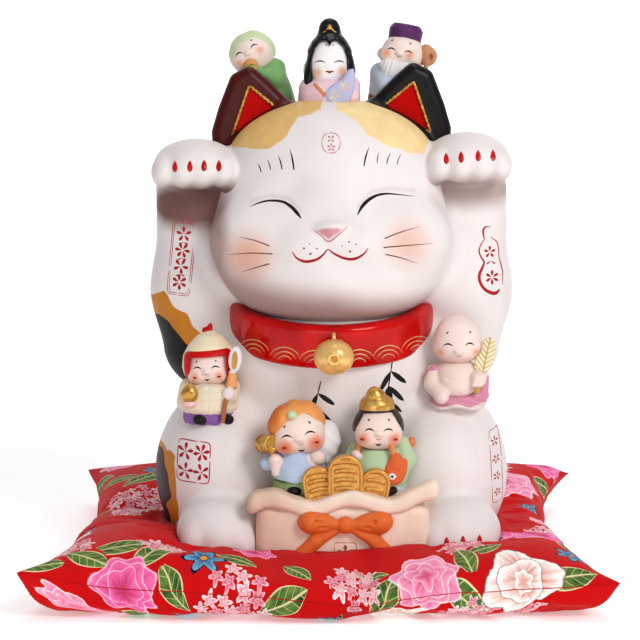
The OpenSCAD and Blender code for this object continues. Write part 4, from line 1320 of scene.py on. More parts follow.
def floral_cloth():
    paint = Print("floral_cloth", 0.8, Sheen_Weight=0.04, Sheen_Roughness=0.5, Specular_IOR_Level=0.12)
    red, white = rgb(206, 0, 14), rgb(250, 240, 240)
    cloth = paint.mix(paint.noise(30, 3, contrast=1.6), rgb(190, 0, 10), red)

    x, y, *_ = paint.frame("leaf_at")
    wide = paint.math("MULTIPLY", paint.math("SUBTRACT", 1.0, paint.math("MULTIPLY", x, x)), 0.46)
    side = paint.math("DIVIDE", paint.math("ABSOLUTE", y), paint.math("MAXIMUM", wide, 0.001))
    green = paint.mix(paint.noise(6, 3, contrast=2), rgb(34, 66, 34), rgb(110, 140, 66))
    slant = paint.math("ADD", paint.math("MULTIPLY", x, 9.0),
                       paint.math("MULTIPLY", paint.math("ABSOLUTE", y), -9.0))
    ribs = paint.math("ABSOLUTE", paint.math("SINE", slant))
    green = paint.mix(paint.below(ribs, 0.16, 0.1), green, rgb(176, 184, 112))
    green = paint.mix(paint.below(paint.math("ABSOLUTE", y), 0.03, 0.02), green, rgb(226, 214, 156))
    green = paint.mix(paint.below(side, 0.9, 0.05), rgb(238, 226, 178), green)
    cloth = paint.mix(paint.below(paint.math("MAXIMUM", side, paint.math("ABSOLUTE", x)), 1.0, 0.03), cloth,
                      green)

    *_, kind, far, turn = paint.frame("small_at")
    five = [(5, 0.68, 0.24, 0.0), (5, 0.2, 0.06, 0.6)]
    pale = paint.bloom(cloth, far, turn, five, rgb(226, 70, 110), white, white)
    pink = paint.bloom(cloth, far, turn, five, rgb(190, 20, 60), rgb(250, 176, 196), white)
    navy = rgb(12, 24, 52)
    blue = paint.bloom(cloth, far, turn, [(6, 0.74, 0.24, 0.0)],
                       rgb(20, 70, 130), rgb(128, 190, 216), navy, 0.16)
    blue = paint.bloom(blue, far, turn, [(6, 0.2, 0.04, 0.0)],
                       rgb(240, 180, 60), rgb(206, 120, 40), navy, 0.2)
    small = paint.only(kind, 0, pale, paint.only(kind, 1, pink, blue))
    cloth = paint.mix(paint.below(kind, 5.0, 0.5), cloth, small)

    *_, kind, far, turn = paint.frame("peony_at")
    rings = [(7, 0.86, 0.1, 0.4), (6, 0.68, 0.09, 1.7), (5, 0.48, 0.08, 0.2), (4, 0.28, 0.06, 1.0)]
    rose = paint.bloom(cloth, far, turn, rings, rgb(204, 6, 84), rgb(248, 152, 188), white, 0.045)
    poppy = paint.bloom(cloth, far, turn, [(4, 0.82, 0.14, 0.2), (3, 0.5, 0.1, 1.1), (6, 0.2, 0.03, 0.0)],
                        rgb(204, 74, 14), rgb(255, 250, 244), rgb(110, 34, 20), 0.035)
    bright = paint.bloom(cloth, far, turn, rings[:3], rgb(176, 0, 62), rgb(244, 104, 168),
                         rgb(252, 214, 228), 0.04)
    peony = paint.only(kind, 0, rose, paint.only(kind, 1, poppy, bright))
    cloth = paint.mix(paint.below(kind, 5.0, 0.5), cloth, peony)

    paint.relief(paint.noise(0.7, 2), 0.09)
    paint.relief(paint.noise(14, 3), 0.5)
    return paint.finish(cloth)


def add_cushion(inks):
    points, quads, fabric, held, sewn = pad_sheets()
    mesh = bpy.data.meshes.new("cushion_cloth")
    mesh.from_pydata((points * MM).tolist(), [], quads.tolist())
    for key, values in (("fabric_x", fabric[:, 0]), ("fabric_y", fabric[:, 1]), ("sewn", sewn)):
        mesh.attributes.new(key, "FLOAT", "POINT").data.foreach_set("value", values.astype(np.float32))
    obj = bpy.data.objects.new("cushion_cloth", mesh)
    bpy.context.collection.objects.link(obj)
    points = fill_pad(obj, points, held)
    points = clear_of_figurine(points)
    mesh.vertices.foreach_set("co", (points * MM).ravel())
    mesh.update()

    smooth = obj.modifiers.new("finer", "SUBSURF")
    smooth.levels = smooth.render_levels = 1
    fine = bpy.data.meshes.new_from_object(obj.evaluated_get(bpy.context.evaluated_depsgraph_get()))
    obj.modifiers.clear()
    obj.vertex_groups.clear()
    obj.data = fine

    def layer(key):
        values = np.empty(len(fine.vertices), np.float32)
        fine.attributes[key].data.foreach_get("value", values)
        return values
    points = np.empty(len(fine.vertices) * 3)
    fine.vertices.foreach_get("co", points)
    points = clear_of_figurine(points.reshape(-1, 3) / MM, 0.35)
    fine.vertices.foreach_set("co", (points * MM).ravel())
    fabric = np.stack([layer("fabric_x"), layer("fabric_y")], 1)
    print_frames(fine, fabric, "leaf_at", [row + (0,) for row in LEAVES])
    print_frames(fine, fabric, "small_at", small_blossoms())
    print_frames(fine, fabric, "peony_at", PEONIES)
    fine.polygons.foreach_set("use_smooth", [True] * len(fine.polygons))
    fine.materials.append(floral_cloth())
    fine.update()
    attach(obj, "cushion")
    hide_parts("cushion")

    rim = points[layer("sewn") > 0.99]
    rim = rim[np.argsort(np.arctan2(rim[:, 1] - PAD_MID[1], rim[:, 0] - PAD_MID[0]))]
    rope("cushion_seam", rim - CAT_AT, 0.22, inks["seam"], "cushion")


# ---------------------------------------------------------------- small figures
def folds(p, count, depth, phase=0.0, low=0.0, high=12.0):
    """Soft upright folds round the middle axis, deepest low down; added to a field."""
    turn = np.arctan2(p[:, 1], p[:, 0])
    fade = np.clip((high - p[:, 2]) / (high - low), 0, 1)
    return depth * np.cos(count * turn + phase + 0.08 * p[:, 2]) * fade


def unpainted(p):
    """Far from any painted patch, for clay that shares a face's material but neither its blush nor its
    painted chin shade.
    """
    return np.full(len(p), 50.0)


class Doll:
    """A small figure: where it stands, its round head, and what is painted on its face."""

    def __init__(self, name, head_node, middle, half, lean=0, nod=0, look=0.0, lift=0.0, ears=1.0,
                 node_middle=None):
        self.name, self.head_node = name, head_node
        self.middle, self.half = np.asarray(middle, float), np.asarray(half, float)
        self.place = doll_place(head_node, node_middle or middle, lean)
        self.nod, self.look, self.lift, self.ears = math.radians(nod), look, lift, ears

    def spot(self, x, z):
        """A place on the face, counted from its middle in half head widths."""
        c, s, r = math.cos(self.nod), math.sin(self.nod), self.half[0]
        x += self.look
        z += self.lift
        return self.middle[0] + r * (x * c - z * s), self.middle[2] + r * (x * s + z * c)

    def bead(self, p, x, z, front, size):
        """A small mass of clay on the face; front 1 is the very front of the head."""
        at_x, at_z = self.spot(x, z)
        r = self.half[0]
        return egg(p, (at_x, self.middle[1] - self.half[1] * front, at_z), tuple(r * v for v in size))

    def skull(self, p):
        d = egg(p, self.middle, self.half)
        r = self.half[0]
        for s in SIDES:
            d = join(d, self.bead(p, 0.5 * s, -0.36, 0.56, (0.4, 0.36, 0.34)), 0.3 * r)
        return d

    def head(self, p):
        d, r = self.skull(p), self.half[0]
        d = join(d, self.bead(p, 0, -0.13, 0.99, (0.17, 0.12, 0.12)), 0.1 * r)
        if self.ears:
            for s in SIDES:
                x, y, z = self.middle + np.array([s * r * 1.0, 0.8, -0.12 * r])
                lobe = carve(egg(p, (x, y, z), (0.17 * r, 0.14 * r, 0.25 * r)),
                             egg(p, (x + s * 0.03 * r, y - 0.16 * r, z + 0.02 * r),
                                 (0.09 * r, 0.1 * r, 0.15 * r)), 0.5)
                d = join(d, lobe, 0.8)
        return d

    def clay(self, node, field, low, high, material, slot, cell=0.5, paint=None):
        clay(node, field, low, high, cell, material, self.place, slot=slot, paint=paint)

    def add_head(self, skin, blush_at=((-0.62, -0.36), (0.62, -0.36)), blush_size=0.2, chin_shade=True):
        spots = [self.spot(x, z) for x, z in blush_at]
        size = blush_size * self.half[0]
        patches = {
            "cheek": lambda p: np.minimum.reduce([np.hypot(p[:, 0] - x, p[:, 2] - z)
                                                  for x, z in spots]) - size
            + np.maximum(p[:, 1] - self.middle[1], 0) * 5,
            # chin is a painted shade under the chin, moved far below the head when chin_shade is off.
            "chin": lambda p: p[:, 2] - (self.middle[2] - self.half[2] * (0.62 if chin_shade else 3)),
        }
        reach = self.half * 1.25 + 2
        self.clay(self.head_node, self.head, self.middle - reach, self.middle + reach, skin, "skin_bisque",
                  paint=patches)

    def line(self, brush, rows, shift=(0, 0), mirror=1):
        r = self.half[0]
        brush.stroke([self.spot(shift[0] + mirror * x, shift[1] + z) + (w * r,) for x, z, w in rows])

    def add_face(self, inks, eyes=((-0.4, 0.02), (0.4, 0.02)), brows="tick", brow_z=0.42, mouth="both",
                 smile_at=(0, -0.38), mouth_at=(0, -0.63), sparks=(), wide=1.0):
        dark = Brush(self.head, 0.06, -40)
        for x, z in eyes:
            self.line(dark, [(-0.2 * wide, -0.05, 0.02), (-0.11 * wide, 0.025, 0.07), (0, 0.055, 0.1),
                             (0.11 * wide, 0.025, 0.08), (0.2 * wide, -0.04, 0.02)], (x, z))
        for (x, z), s in zip(eyes, SIDES):
            at = (x + 0.04 * s, brow_z + z)
            if brows == "none":
                continue
            if brows == "dot":
                self.line(dark, [(-0.05, 0, 0.05), (0, 0, 0.11), (0.05, 0, 0.05)], at)
            else:
                self.line(dark, [(-0.07, 0.05, 0.02), (0.0, 0.0, 0.08), (0.03, -0.01, 0.05)], at, s)
                self.line(dark, [(-0.03, -0.06, 0.015), (0.01, -0.02, 0.05), (0.03, -0.01, 0.05)], at, s)
        if mouth in ("both", "smile"):
            self.line(dark, [(-0.12, 0.025, 0.015), (-0.05, -0.015, 0.035), (0.04, -0.02, 0.035),
                             (0.12, 0.03, 0.015)],
                      smile_at)
        if mouth in ("both", "open"):
            self.line(dark, [(-0.12, 0.04, 0.03), (-0.05, 0.0, 0.1), (0, -0.02, 0.14), (0.05, 0.0, 0.1),
                             (0.12, 0.04, 0.03)], mouth_at)
        dark.done(self.name + "_face_lines", inks["brown"], self.place)
        red = Brush(self.head, 0.05, -40)
        if mouth == "lips":
            self.line(red, [(-0.22, 0.01, 0.03), (-0.1, 0.03, 0.14), (0, -0.01, 0.19), (0.1, 0.03, 0.14),
                            (0.22, 0.01, 0.03)], smile_at)
        for x, z in sparks:
            self.line(red, [(-0.09, 0, 0.05), (0, 0.01, 0.17), (0.09, 0, 0.05)], (x, z))
        if red.flat:
            red.done(self.name + "_face_red", inks["dark_red"], self.place)


def add_peach_elder(tints, inks):
    doll = Doll("peach_elder", "peach_elder_head", (0, -1, 35.0), (11.3, 11.6, 11.5), -25, nod=6, look=-0.14,
                lift=0.28, ears=0, node_middle=(0, -1, 36.5))
    doll.add_head(tints["skin"], ((-0.6, -0.3), (0.55, -0.3)), 0.16)

    def hood(p):
        d = egg(p, (0, 1.2, 35.9), (12.7, 12.9, 12.2))
        opening = egg(p, (-1.2, -13.5, 31.6), (10.2, 12, 11.0), -8)
        d = carve(d, opening, 1.4)
        crease = np.abs(p[:, 0] * 0.5 + p[:, 2] - 47.5) - 0.1
        d = d + 0.35 * np.exp(-(crease / 1.6) ** 2) + 0.1 * np.cos(p[:, 0] * 0.9 + p[:, 2] * 0.5)
        return shared(d, 29 - p[:, 2], 1.5)

    def robe(p):
        d = lathe(p, (0, 0, 0), [(9, 0), (10.2, 6), (11.0, 12), (11.2, 18), (10, 24), (8, 28)])
        d = join(d, bone(p, (8.2, -1, 23.5), (5.5, -8.5, 19), 5, 5.4), 3)
        d = join(d, bone(p, (-9, -1, 24.5), (-5, -10.5, 27), 4.5, 3.6), 3)
        cuff = bone(p, (5.8, -9, 18), (-1.5, -12.2, 26), 4.6, 2.8)
        return join(d, cuff, 1.6) + folds(p, 7, 0.3, 0.6, 0, 26)

    def fruit(p):
        d = egg(p, (-3.4, -13.2, 29.8), (3.9, 3.7, 4.0), -25)
        groove = bone(p, (-3.2, -17.2, 34), (-3.0, -17.4, 26.5), 0.5, 0.3)
        return carve(d, groove, 0.9)

    doll.clay("peach_elder_hood", hood, (-16, -14, 27), (16, 17, 54), tints["hood"], "green_glaze")
    doll.clay("peach_elder_robe", robe, (-16, -17, -1), (17, 14, 33), tints["elder_robe"], "green_glaze",
              paint={"hem": lambda p: p[:, 2] - 5 + 0.12 * p[:, 0]})
    doll.clay("peach", fruit, (-8.5, -18.5, 24.5), (2, -8, 35), tints["peach"], "orange_glaze", 0.4,
              {"ripe": lambda p: (p[:, 2] - 29.2) + 0.35 * (p[:, 0] + 3.4)})
    leaf = Brush(fruit, 0.1, -40)
    leaf.stroke([(-6.2, 28.9, 0.3), (-4.6, 30.0, 1.1), (-2.6, 30.3, 1.2), (-0.6, 29.2, 0.3)])
    leaf.done("peach_leaf", inks["green"], doll.place)
    doll.add_face(inks, ((-0.4, 0.06), (0.4, 0.02)), brows="dot", brow_z=0.3, mouth="none")


def add_lute_lady(tints, inks):
    doll = Doll("lute_lady", "lute_lady_face", (0, -3.2, 24.5), (10.8, 9.4, 13), ears=0)

    def long_face(p):
        chin = join(egg(p, (0, -4.4, 20.5), (10.2, 8.6, 8.2)), egg(p, (0, -12.6, 21.6), (1.5, 1.0, 1.0)), 1)
        return join(egg(p, (0, -3.2, 24.5), (10.6, 9.4, 13)), chin, 2)

    doll.head = doll.skull = long_face
    doll.add_head(tints["pale_skin"], ((-0.62, -0.5), (0.62, -0.44)), 0.24, False)
    half_line = [(1.6, 35.4), (4.4, 35.6), (7.6, 31.8), (9.2, 26.5), (9.5, 21), (9.2, 16), (7.4, 11), (5, 8)]
    hairline = [(0, 32.8)] + [(-x, z) for x, z in half_line] + half_line[::-1]

    def hair(p):
        q = p * np.array([1.0, 1.22, 1.0])
        d = join(bone(q, (0, 3.2, 23), (0, 0.8, 38), 12.8, 5.2), egg(p, (0, 3, 19), (13.4, 9.5, 10)), 4)
        d = join(d, egg(p, (0, -2.6, 25.6), (11.9, 11.0, 14.3)), 1)
        d = join(d, egg(p, (-10.2, -3.5, 18.5), (3.4, 6.6, 9.5), 6), 1.5)
        d = join(d, egg(p, (10.2, -3.5, 22), (3.2, 6.2, 7.5), -6), 1.5)
        d = join(d, lathe(p, (0, -0.4, 0), [(10.4, 30.5), (8.6, 34.4), (5.6, 38.4), (4.4, 42)], 1.0), 2)
        d = carve(d, plate(p, hairline, -30, -2.0, 0.4), 0.7)
        knot = join(egg(p, (0, 0.4, 43.4), (5.0, 4.6, 4.2)), egg(p, (0, 0.2, 39.8), (4.4, 4.2, 2.4)), 1.2)
        strands = 0.05 * np.cos(p[:, 0] * 2.2 + p[:, 2] * 0.3)
        return shared(join(d, knot, 2.6), 10.5 - p[:, 2], 1.5) + strands

    def kimono(p):
        d = lathe(p, (0, 0, 0), [(15, 0.4), (16, 3), (15.8, 8), (13.5, 13), (9, 17)])
        left = bone(p, (-10.5, -2, 11), (-1.5, -13.4, 6), 5.6, 4.0)
        right = bone(p, (11, -1, 12), (11.5, -11, 7), 5.4, 4.2)
        d = join(join(d, left, 1.6), right, 1.6)
        return d + folds(p, 9, 0.22, 0.3, 0, 14)

    body_of_lute = [(12.3, 21.2), (13.4, 17.8), (12.6, 9.5), (10.1, 3.6), (5.8, 1.5), (0.9, 1.7),
                    (-2.2, 5.4), (-2.7, 9), (1.4, 12.7), (6.5, 15.8), (9.8, 20.6)]
    doll.clay("lute_lady_hair", hair, (-16, -15, 9), (16, 15, 49), tints["hair"], "black_glaze", 0.42)
    doll.clay("lute_lady_kimono", kimono, (-18, -19, -1), (18, 18, 20), tints["kimono"], "pink_glaze",
              paint={"hem": lambda p: p[:, 2] - 3.0, "line": lambda p: p[:, 2] - 0.8})
    doll.clay("lute", lambda p: plate(p, body_of_lute, -18.4, -11.5, 2.0), (-6, -20, -1), (17, -9, 25),
              tints["lavender"], "lavender_glaze")
    tiara = [(-4.2, 39.9), (4.2, 39.9), (2.2, 41.0), (1.2, 42.4), (0, 44.4), (-1.2, 42.4), (-2.2, 41.0)]
    doll.clay("hair_ornament", lambda p: plate(p, tiara, -6.0, -3.6, 0.35), (-6, -7.4, 38), (6, -2, 46),
              tints["gold"], "gold_paint", 0.25)
    board = Brush(lambda p: plate(p, body_of_lute, -18.4, -11.5, 2.0), 0.08, -40)
    board.blossom(7.8, 12.0, 2.7, 6, 90, 0.42)
    board.blossom(2.6, 7.4, 2.9, 6, 100, 0.42)
    board.petal(1.8, 3.4, 1.6, 0.9, 60)
    board.done("lute_flowers", inks["pale_gold"], doll.place)
    neckband = Brush(kimono, 0.22, -40)
    neckband.stroke([(-8.2, 13.2, 1.6), (-6.0, 11.2, 2.4), (-3.6, 8.6, 2.3), (-2.6, 6.4, 1.4)])
    neckband.done("kimono_band", inks["orange"], doll.place)
    under = Brush(kimono, 0.3, -40)
    under.stroke([(-6.2, 12.8, 0.7), (-4.0, 10.9, 0.9), (-2.0, 8.6, 0.7)])
    under.done("kimono_lining", inks["white"], doll.place)
    doll.add_face(inks, ((-0.47, 0.0), (0.46, 0.0)), brows="none", mouth="lips", smile_at=(0, -0.48),
                  wide=1.35)
    tiny = Brush(doll.head, 0.05, -40)
    for s in SIDES:
        tiny.dot(1.9 * s, 33.3, 1.0)
    tiny.done("lute_lady_brows", inks["grey"], doll.place)


def add_bearded_elder(tints, inks):
    doll = Doll("bearded_elder", "bearded_elder_head", (0, -1, 33.5), (11.3, 11.3, 11.3), 10, look=-0.16,
                lift=0.12)
    doll.add_head(tints["skin"], ((-0.6, -0.2), (0.5, -0.14)), 0.2, False)

    def robe(p):
        d = lathe(p, (0, 0, 0), [(13, 0), (13.4, 6), (13.6, 12), (14, 18), (12, 24), (8, 27.5)])
        d = join(d, bone(p, (-10, -1, 22), (-6, -11, 15), 5.2, 4.6), 2)
        d = join(d, bone(p, (10, -1, 22), (9, -10, 15), 5.2, 4.6), 2)
        return d + folds(p, 8, 0.35, 0.2, 0, 24)

    def cap(p):
        d = lathe(p, (0, 0.4, 0), [(7.6, 38), (7.7, 40), (8.0, 46.4), (6.4, 48.4)], 1.1)
        dome = egg(p, (0, 0.4, 47.6), (7.6, 7.6, 2.0))
        return np.maximum(join(d, dome, 1), -egg(p, (0, -1, 33.5), (11.2, 11.2, 11.2)))

    def white_beard(p):
        d = join(egg(p, (-1.2, -8.4, 26.2), (9.8, 4.6, 7.4)), egg(p, (-0.6, -9.0, 20.5), (6.4, 3.6, 7)), 4)
        spread = (p[:, 0] + 1.4) / (1 + 0.035 * (32 - p[:, 2]))
        strands = 0.14 * np.cos(spread * 3.6) + 0.08 * np.cos(spread * 2.1 + 0.3 * p[:, 2])
        smile = egg(p, (-1.6, -12.6, 34.4), (8.6, 7.5, 4.9))
        return carve(d, smile, 1.6) + strands

    def stick(p):
        d = bone(p, (13.4, -4, 8), (13.6, -4, 30), 1.3, 1.3)
        knob = join(egg(p, (14.0, -2.4, 34.6), (4.6, 3.2, 5.2), 8),
                    egg(p, (12.2, -2.4, 37.6), (3.4, 3.0, 3.4)), 1)
        knob = carve(knob, egg(p, (15.0, -5.4, 34.4), (1.1, 2.4, 1.9), 10), 0.8)
        return join(d, knob, 1.2)

    doll.clay("bearded_elder_robe", robe, (-18, -18, -1), (18, 16, 32), tints["slate"], "blue_glaze",
              paint={"hem": lambda p: np.maximum(p[:, 2] - 7.5 + 0.2 * p[:, 0], p[:, 0] + 4)})
    doll.clay("bearded_elder_cap", cap, (-11, -10, 37), (11, 11, 52), tints["plum"], "purple_glaze")
    doll.clay("beard", white_beard, (-12, -17, 12), (10, -4, 36), tints["chalk"], "figure_white", 0.45)
    doll.clay("staff", stick, (9, -8, 5), (20, 2, 43), tints["wood"], "wood_brown", 0.45)
    doll.add_face(inks, ((-0.4, 0.0), (0.4, 0.0)), brow_z=0.42, mouth="smile", smile_at=(0, -0.27))


def add_guardian(tints, inks):
    doll = Doll("guardian", "guardian_head", (0, -1, 28.4), (11, 11, 11), look=-0.1, lift=-0.1, ears=0, nod=2)
    doll.add_head(tints["skin"], ((-0.56, -0.38), (0.58, -0.36)), 0.22)

    def visor(p):
        """The square-cut face opening, as distance in the x, z plane."""
        return outline(p[:, 0], p[:, 2], [(-9.4, 17), (-9.8, 32.6), (8.6, 34.2), (9.2, 24), (8.4, 17)])

    def helmet(p):
        d = lathe(p, (0, 0.5, 0), [(12.2, 23), (13.4, 27), (12.8, 33), (10.2, 38), (6.0, 42.8),
                                   (1.6, 45.2)], 0.8)
        band = np.maximum(d - 0.75, np.maximum(np.abs(visor(p) - 1.2) - 1.7, p[:, 1] + 1))
        d = carve(join(d, band + 0.4, 0.8), np.maximum(visor(p), p[:, 1] + 2), 0.8)
        d = np.maximum(d, -egg(p, (0, -1, 28.4), (10.9, 10.9, 10.9)))
        return shared(d, 21.5 - p[:, 2], 1)

    def flame(p):
        return join(egg(p, (-1.2, 0.5, 46.0), (2.7, 2.3, 1.8)),
                    egg(p, (0.3, 0.5, 47.6), (1.3, 1.5, 2.1), 14), 1.2)

    def armour(p):
        d = lathe(p, (0, 0, 0), [(13, 4.6), (14.0, 6.5), (13.8, 14), (10.6, 17.6), (7, 19)], 0.8)
        d = join(d, bone(p, (-10.5, -1, 16.5), (-11.6, -7.5, 10), 5.0, 5.0), 2)
        d = join(d, bone(p, (11, -1, 16.5), (10.6, -8.5, 13.6), 4.8, 4.6), 2)
        panel = np.minimum(np.abs(p[:, 0] + 0.3), np.abs(p[:, 2] - 11)) + np.maximum(p[:, 1] + 6, 0)
        d = d + 0.28 * np.exp(-(panel / 0.45) ** 2) * (np.abs(p[:, 0]) < 6.5)
        for s in SIDES:
            d = join(d, egg(p, (0.2 + 3.0 * s, -10.6, 17.0), (3.1, 1.4, 1.1), 24 * s), 0.5)
        return d

    def skirt(p):
        d = lathe(p, (0, 0, 0), [(12.4, -1), (13.2, 1), (13.0, 6)], 0.6) + folds(p, 12, 0.3, 0, -1, 7)
        for x, y, r in ((-4.4, -12.2, 3.6), (10.0, -10.7, 2.9)):
            d = join(d, egg(p, (x, y, 1.2), (r, 3.2, 2.6)), 0.4)
        return d

    def tower(p):
        d = join(egg(p, (-9.6, -14.2, 14.6), (4.4, 3.2, 4.9)),
                 bone(p, (-9.5, -14.0, 16.5), (-9.3, -13.8, 20.2), 2.4, 0.8), 2)
        hand = egg(p, (-9.6, -13.6, 9.6), (3.9, 3.2, 2.0), -6)
        return join(d, hand, 0.3)

    def spear(p):
        shaft = bone(p, (7.4, -14.8, 1.0), (9.2, -14.2, 14), 1.15, 1.15)
        cuff = bone(p, (11.8, -9.5, 19.0), (12.3, -10.5, 25.4), 3.0, 1.9)
        q = turned_about_y(p, (13.7, -12, 32.4), 5)
        blade = carve(egg(q, (13.7, -12, 32.4), (3.4, 1.7, 6.8)),
                      egg(q, (13.4, -13.8, 32), (1.6, 0.8, 4.6)), 0.5)
        fist = egg(p, (10.2, -12.4, 14.6), (3.4, 3.2, 3.6))
        return join(join(join(shaft, cuff, 0.4), blade, 0.6), fist, 0.4)

    doll.clay("guardian_helmet", lambda p: join(helmet(p), flame(p), 0.2), (-16, -14, 20), (16, 15, 53),
              tints["cream_helmet"], "cream_glaze",
              paint={"tip": flame, "trim": lambda p: np.maximum(np.abs(visor(p) - 1.2) - 1.9, p[:, 1] + 1)})
    doll.clay("guardian_armour", armour, (-18, -16, 3), (18, 16, 23), tints["armour"], "cream_glaze",
              paint={"grey": lambda p: np.abs(p[:, 2] - 18) + np.abs(p[:, 0] - 0.2) * 0.4 - 1.5})
    doll.clay("guardian_skirt", skirt, (-16, -17, -3), (16, 15, 8), tints["skirt"], "purple_glaze",
              paint={"shoe": lambda p: np.minimum(egg(p, (-4.4, -12.2, 1.2), (3.7, 3.4, 2.7)),
                                                  egg(p, (10.0, -10.7, 1.2), (3.0, 3.3, 2.7)))})
    doll.clay("pagoda", tower, (-15, -19, 6), (-4, -9, 22), tints["tower"], "gold_paint", 0.4,
              {"hand": lambda p: egg(p, (-9.6, -13.6, 9.6), (4.1, 3.4, 2.0), -6) - 0.1})
    doll.clay("spear", spear, (4, -18, -1), (19, -4, 41), tints["spear"], "wood_brown", 0.42,
              {"blade": lambda p: np.maximum(25.6 - p[:, 2], -egg(p, (13.4, -13.4, 32), (1.5, 1.4, 4.7), 5)),
               "core": lambda p: egg(p, (13.4, -13.4, 32), (1.4, 1.5, 4.6), 5),
               "cuff": lambda p: np.maximum(17.6 - p[:, 2], p[:, 2] - 25.6),
               "fist": lambda p: egg(p, (10.2, -12.4, 14.6), (3.7, 3.5, 3.9))})
    doll.add_face(inks, ((-0.42, 0.04), (0.42, 0.07)), brow_z=0.3, smile_at=(0, -0.26), mouth_at=(0, -0.52),
                  sparks=((-0.56, -0.4), (0.58, -0.38)))


def add_fan_monk(tints, inks):
    doll = Doll("fan_monk", "fan_monk_head", (0, -0.5, 36.6), (12.2, 12, 12.4), ears=0)

    def bald(p):
        crown = egg(p, (0, 0, 38.8), (11.4, 11.0, 10.6))
        jaw = egg(p, (0, -0.8, 32.8), (12.6, 11.8, 8.8))
        d = join(crown, jaw, 5)
        return join(d, egg(p, (0, -12.8, 31.6), (2.3, 1.4, 1.5)), 1.4)

    doll.head = bald
    doll.lift = -0.14
    doll.add_head(tints["skin"], ((-0.76, -0.34), (0.74, -0.32)), 0.15)

    def torso(p):
        d = join(egg(p, (0, -1.2, 14.2), (11.8, 11.4, 9.6)), egg(p, (0, -0.5, 20), (11.2, 9.4, 6.4)), 2.4)
        d = join(d, join(bone(p, (-12, 0, 19.5), (-13.4, -3.6, 13.5), 4.2, 3.7),
                         bone(p, (-13.4, -3.6, 13.5), (-8.6, -10.4, 8.2), 3.7, 3.9), 2), 1.2)
        d = join(d, bone(p, (11.6, 0, 19.5), (9.8, -10, 16.8), 4.3, 4.2), 1.2)
        crease = np.abs(p[:, 2] - 16.2 - 0.035 * p[:, 0] ** 2)
        crease = crease + np.maximum(np.abs(p[:, 0]) - 6, 0) + np.maximum(p[:, 1] + 4, 0)
        navel = np.hypot(p[:, 0] - 0.4, p[:, 2] - 9.6) + np.maximum(p[:, 1] + 4, 0)
        for k in (-1, 0, 1):
            d = join(d, bone(p, (8.2 + 0.6 * k, -13.2, 16.4 + 1.9 * k),
                             (11.0 + 0.4 * k, -13.0, 16.6 + 1.9 * k), 1.2, 1.2), 0.5)
        return d + 0.55 * np.exp(-(crease / 0.7) ** 2) + 0.5 * np.exp(-(navel / 0.6) ** 2)

    def robe(p):
        turn = np.arctan2(p[:, 1], p[:, 0])
        edge = 8.2 - 2.6 * np.cos(p[:, 0] * 0.16)
        d = lathe(p, (0, 0, 0), [(11.6, -1.5), (12.8, 1), (12.9, 5), (12.2, 9)], 0.8)
        d = join(d, bone(p, (12.6, -3.5, 7), (14.2, -0.5, 17.0), 3.4, 2.2), 2)
        d = join(d, bone(p, (-15.0, -1, 18.8), (-12.0, -2.2, 21.6), 2.1, 2.1), 0.4)
        wave = 0.8 * np.cos(5 * turn + 1.3 * p[:, 2]) * np.clip((12 - p[:, 2]) / 10, 0, 1)
        d = shared(d, np.where(p[:, 2] < 12, p[:, 2] - edge - 2.2 - np.maximum(p[:, 1] + 4, 0), d - 1), 0.8)
        return shared(d + wave, -0.6 - 0.24 * p[:, 1] - p[:, 2] + 0.5 * np.cos(p[:, 0] * 0.42 + 0.5), 0.8)

    fan = [(16.2, 38.4), (13.0, 37.2), (11.6, 31.5), (8.6, 27.2), (8.2, 22.4), (11.0, 20.4), (14.6, 20.0),
           (17.2, 23.8), (18.4, 28.2), (19.6, 32.0), (18.8, 36.8)]

    def fan_veins(p):
        """Height along the fan, distance from its middle rib and from the nearest side vein."""
        q = turned_about_y(p, (14.2, 0, 28), 12)
        rib = q[:, 0] - 14.2
        return q[:, 2], rib, np.abs((q[:, 2] + np.abs(rib) * -0.9) % 2.6 - 1.3)

    def leaf(p):
        _, rib, vein = fan_veins(p)
        d = plate(p, fan, -8.0, -5.0, 1.2)
        d = d + 0.35 * np.exp(-(vein / 0.4) ** 2) - 0.3 * np.exp(-(rib / 0.6) ** 2)
        return join(d, bone(p, (12.6, -7.4, 21.5), (9.2, -13.0, 11.5), 1.3, 1.7), 1)

    def vein_mask(p):
        height, rib, vein = fan_veins(p)
        return np.where(height < 19, -1, np.minimum(vein - 0.3, np.abs(rib) - 0.3))

    doll.clay("fan_monk_belly", torso, (-19, -17, 1), (17, 13, 28), tints["skin"], "skin_bisque",
              paint={"cheek": unpainted, "chin": unpainted})
    doll.clay("fan_monk_robe", robe, (-19, -18, -3), (19, 17, 26), tints["mauve"], "pink_glaze",
              paint={"hem": lambda p: p[:, 2] - 3.6 - 0.9 * np.cos(p[:, 0] * 0.42 + 0.5)})
    doll.clay("leaf_fan", leaf, (5, -16, 8), (22, -3, 41), tints["fan"], "cream_glaze", 0.42,
              {"vein": vein_mask})
    doll.add_face(inks, ((-0.45, 0.0), (0.45, 0.03)), brow_z=0.5, mouth="smile", smile_at=(0.01, -0.48))


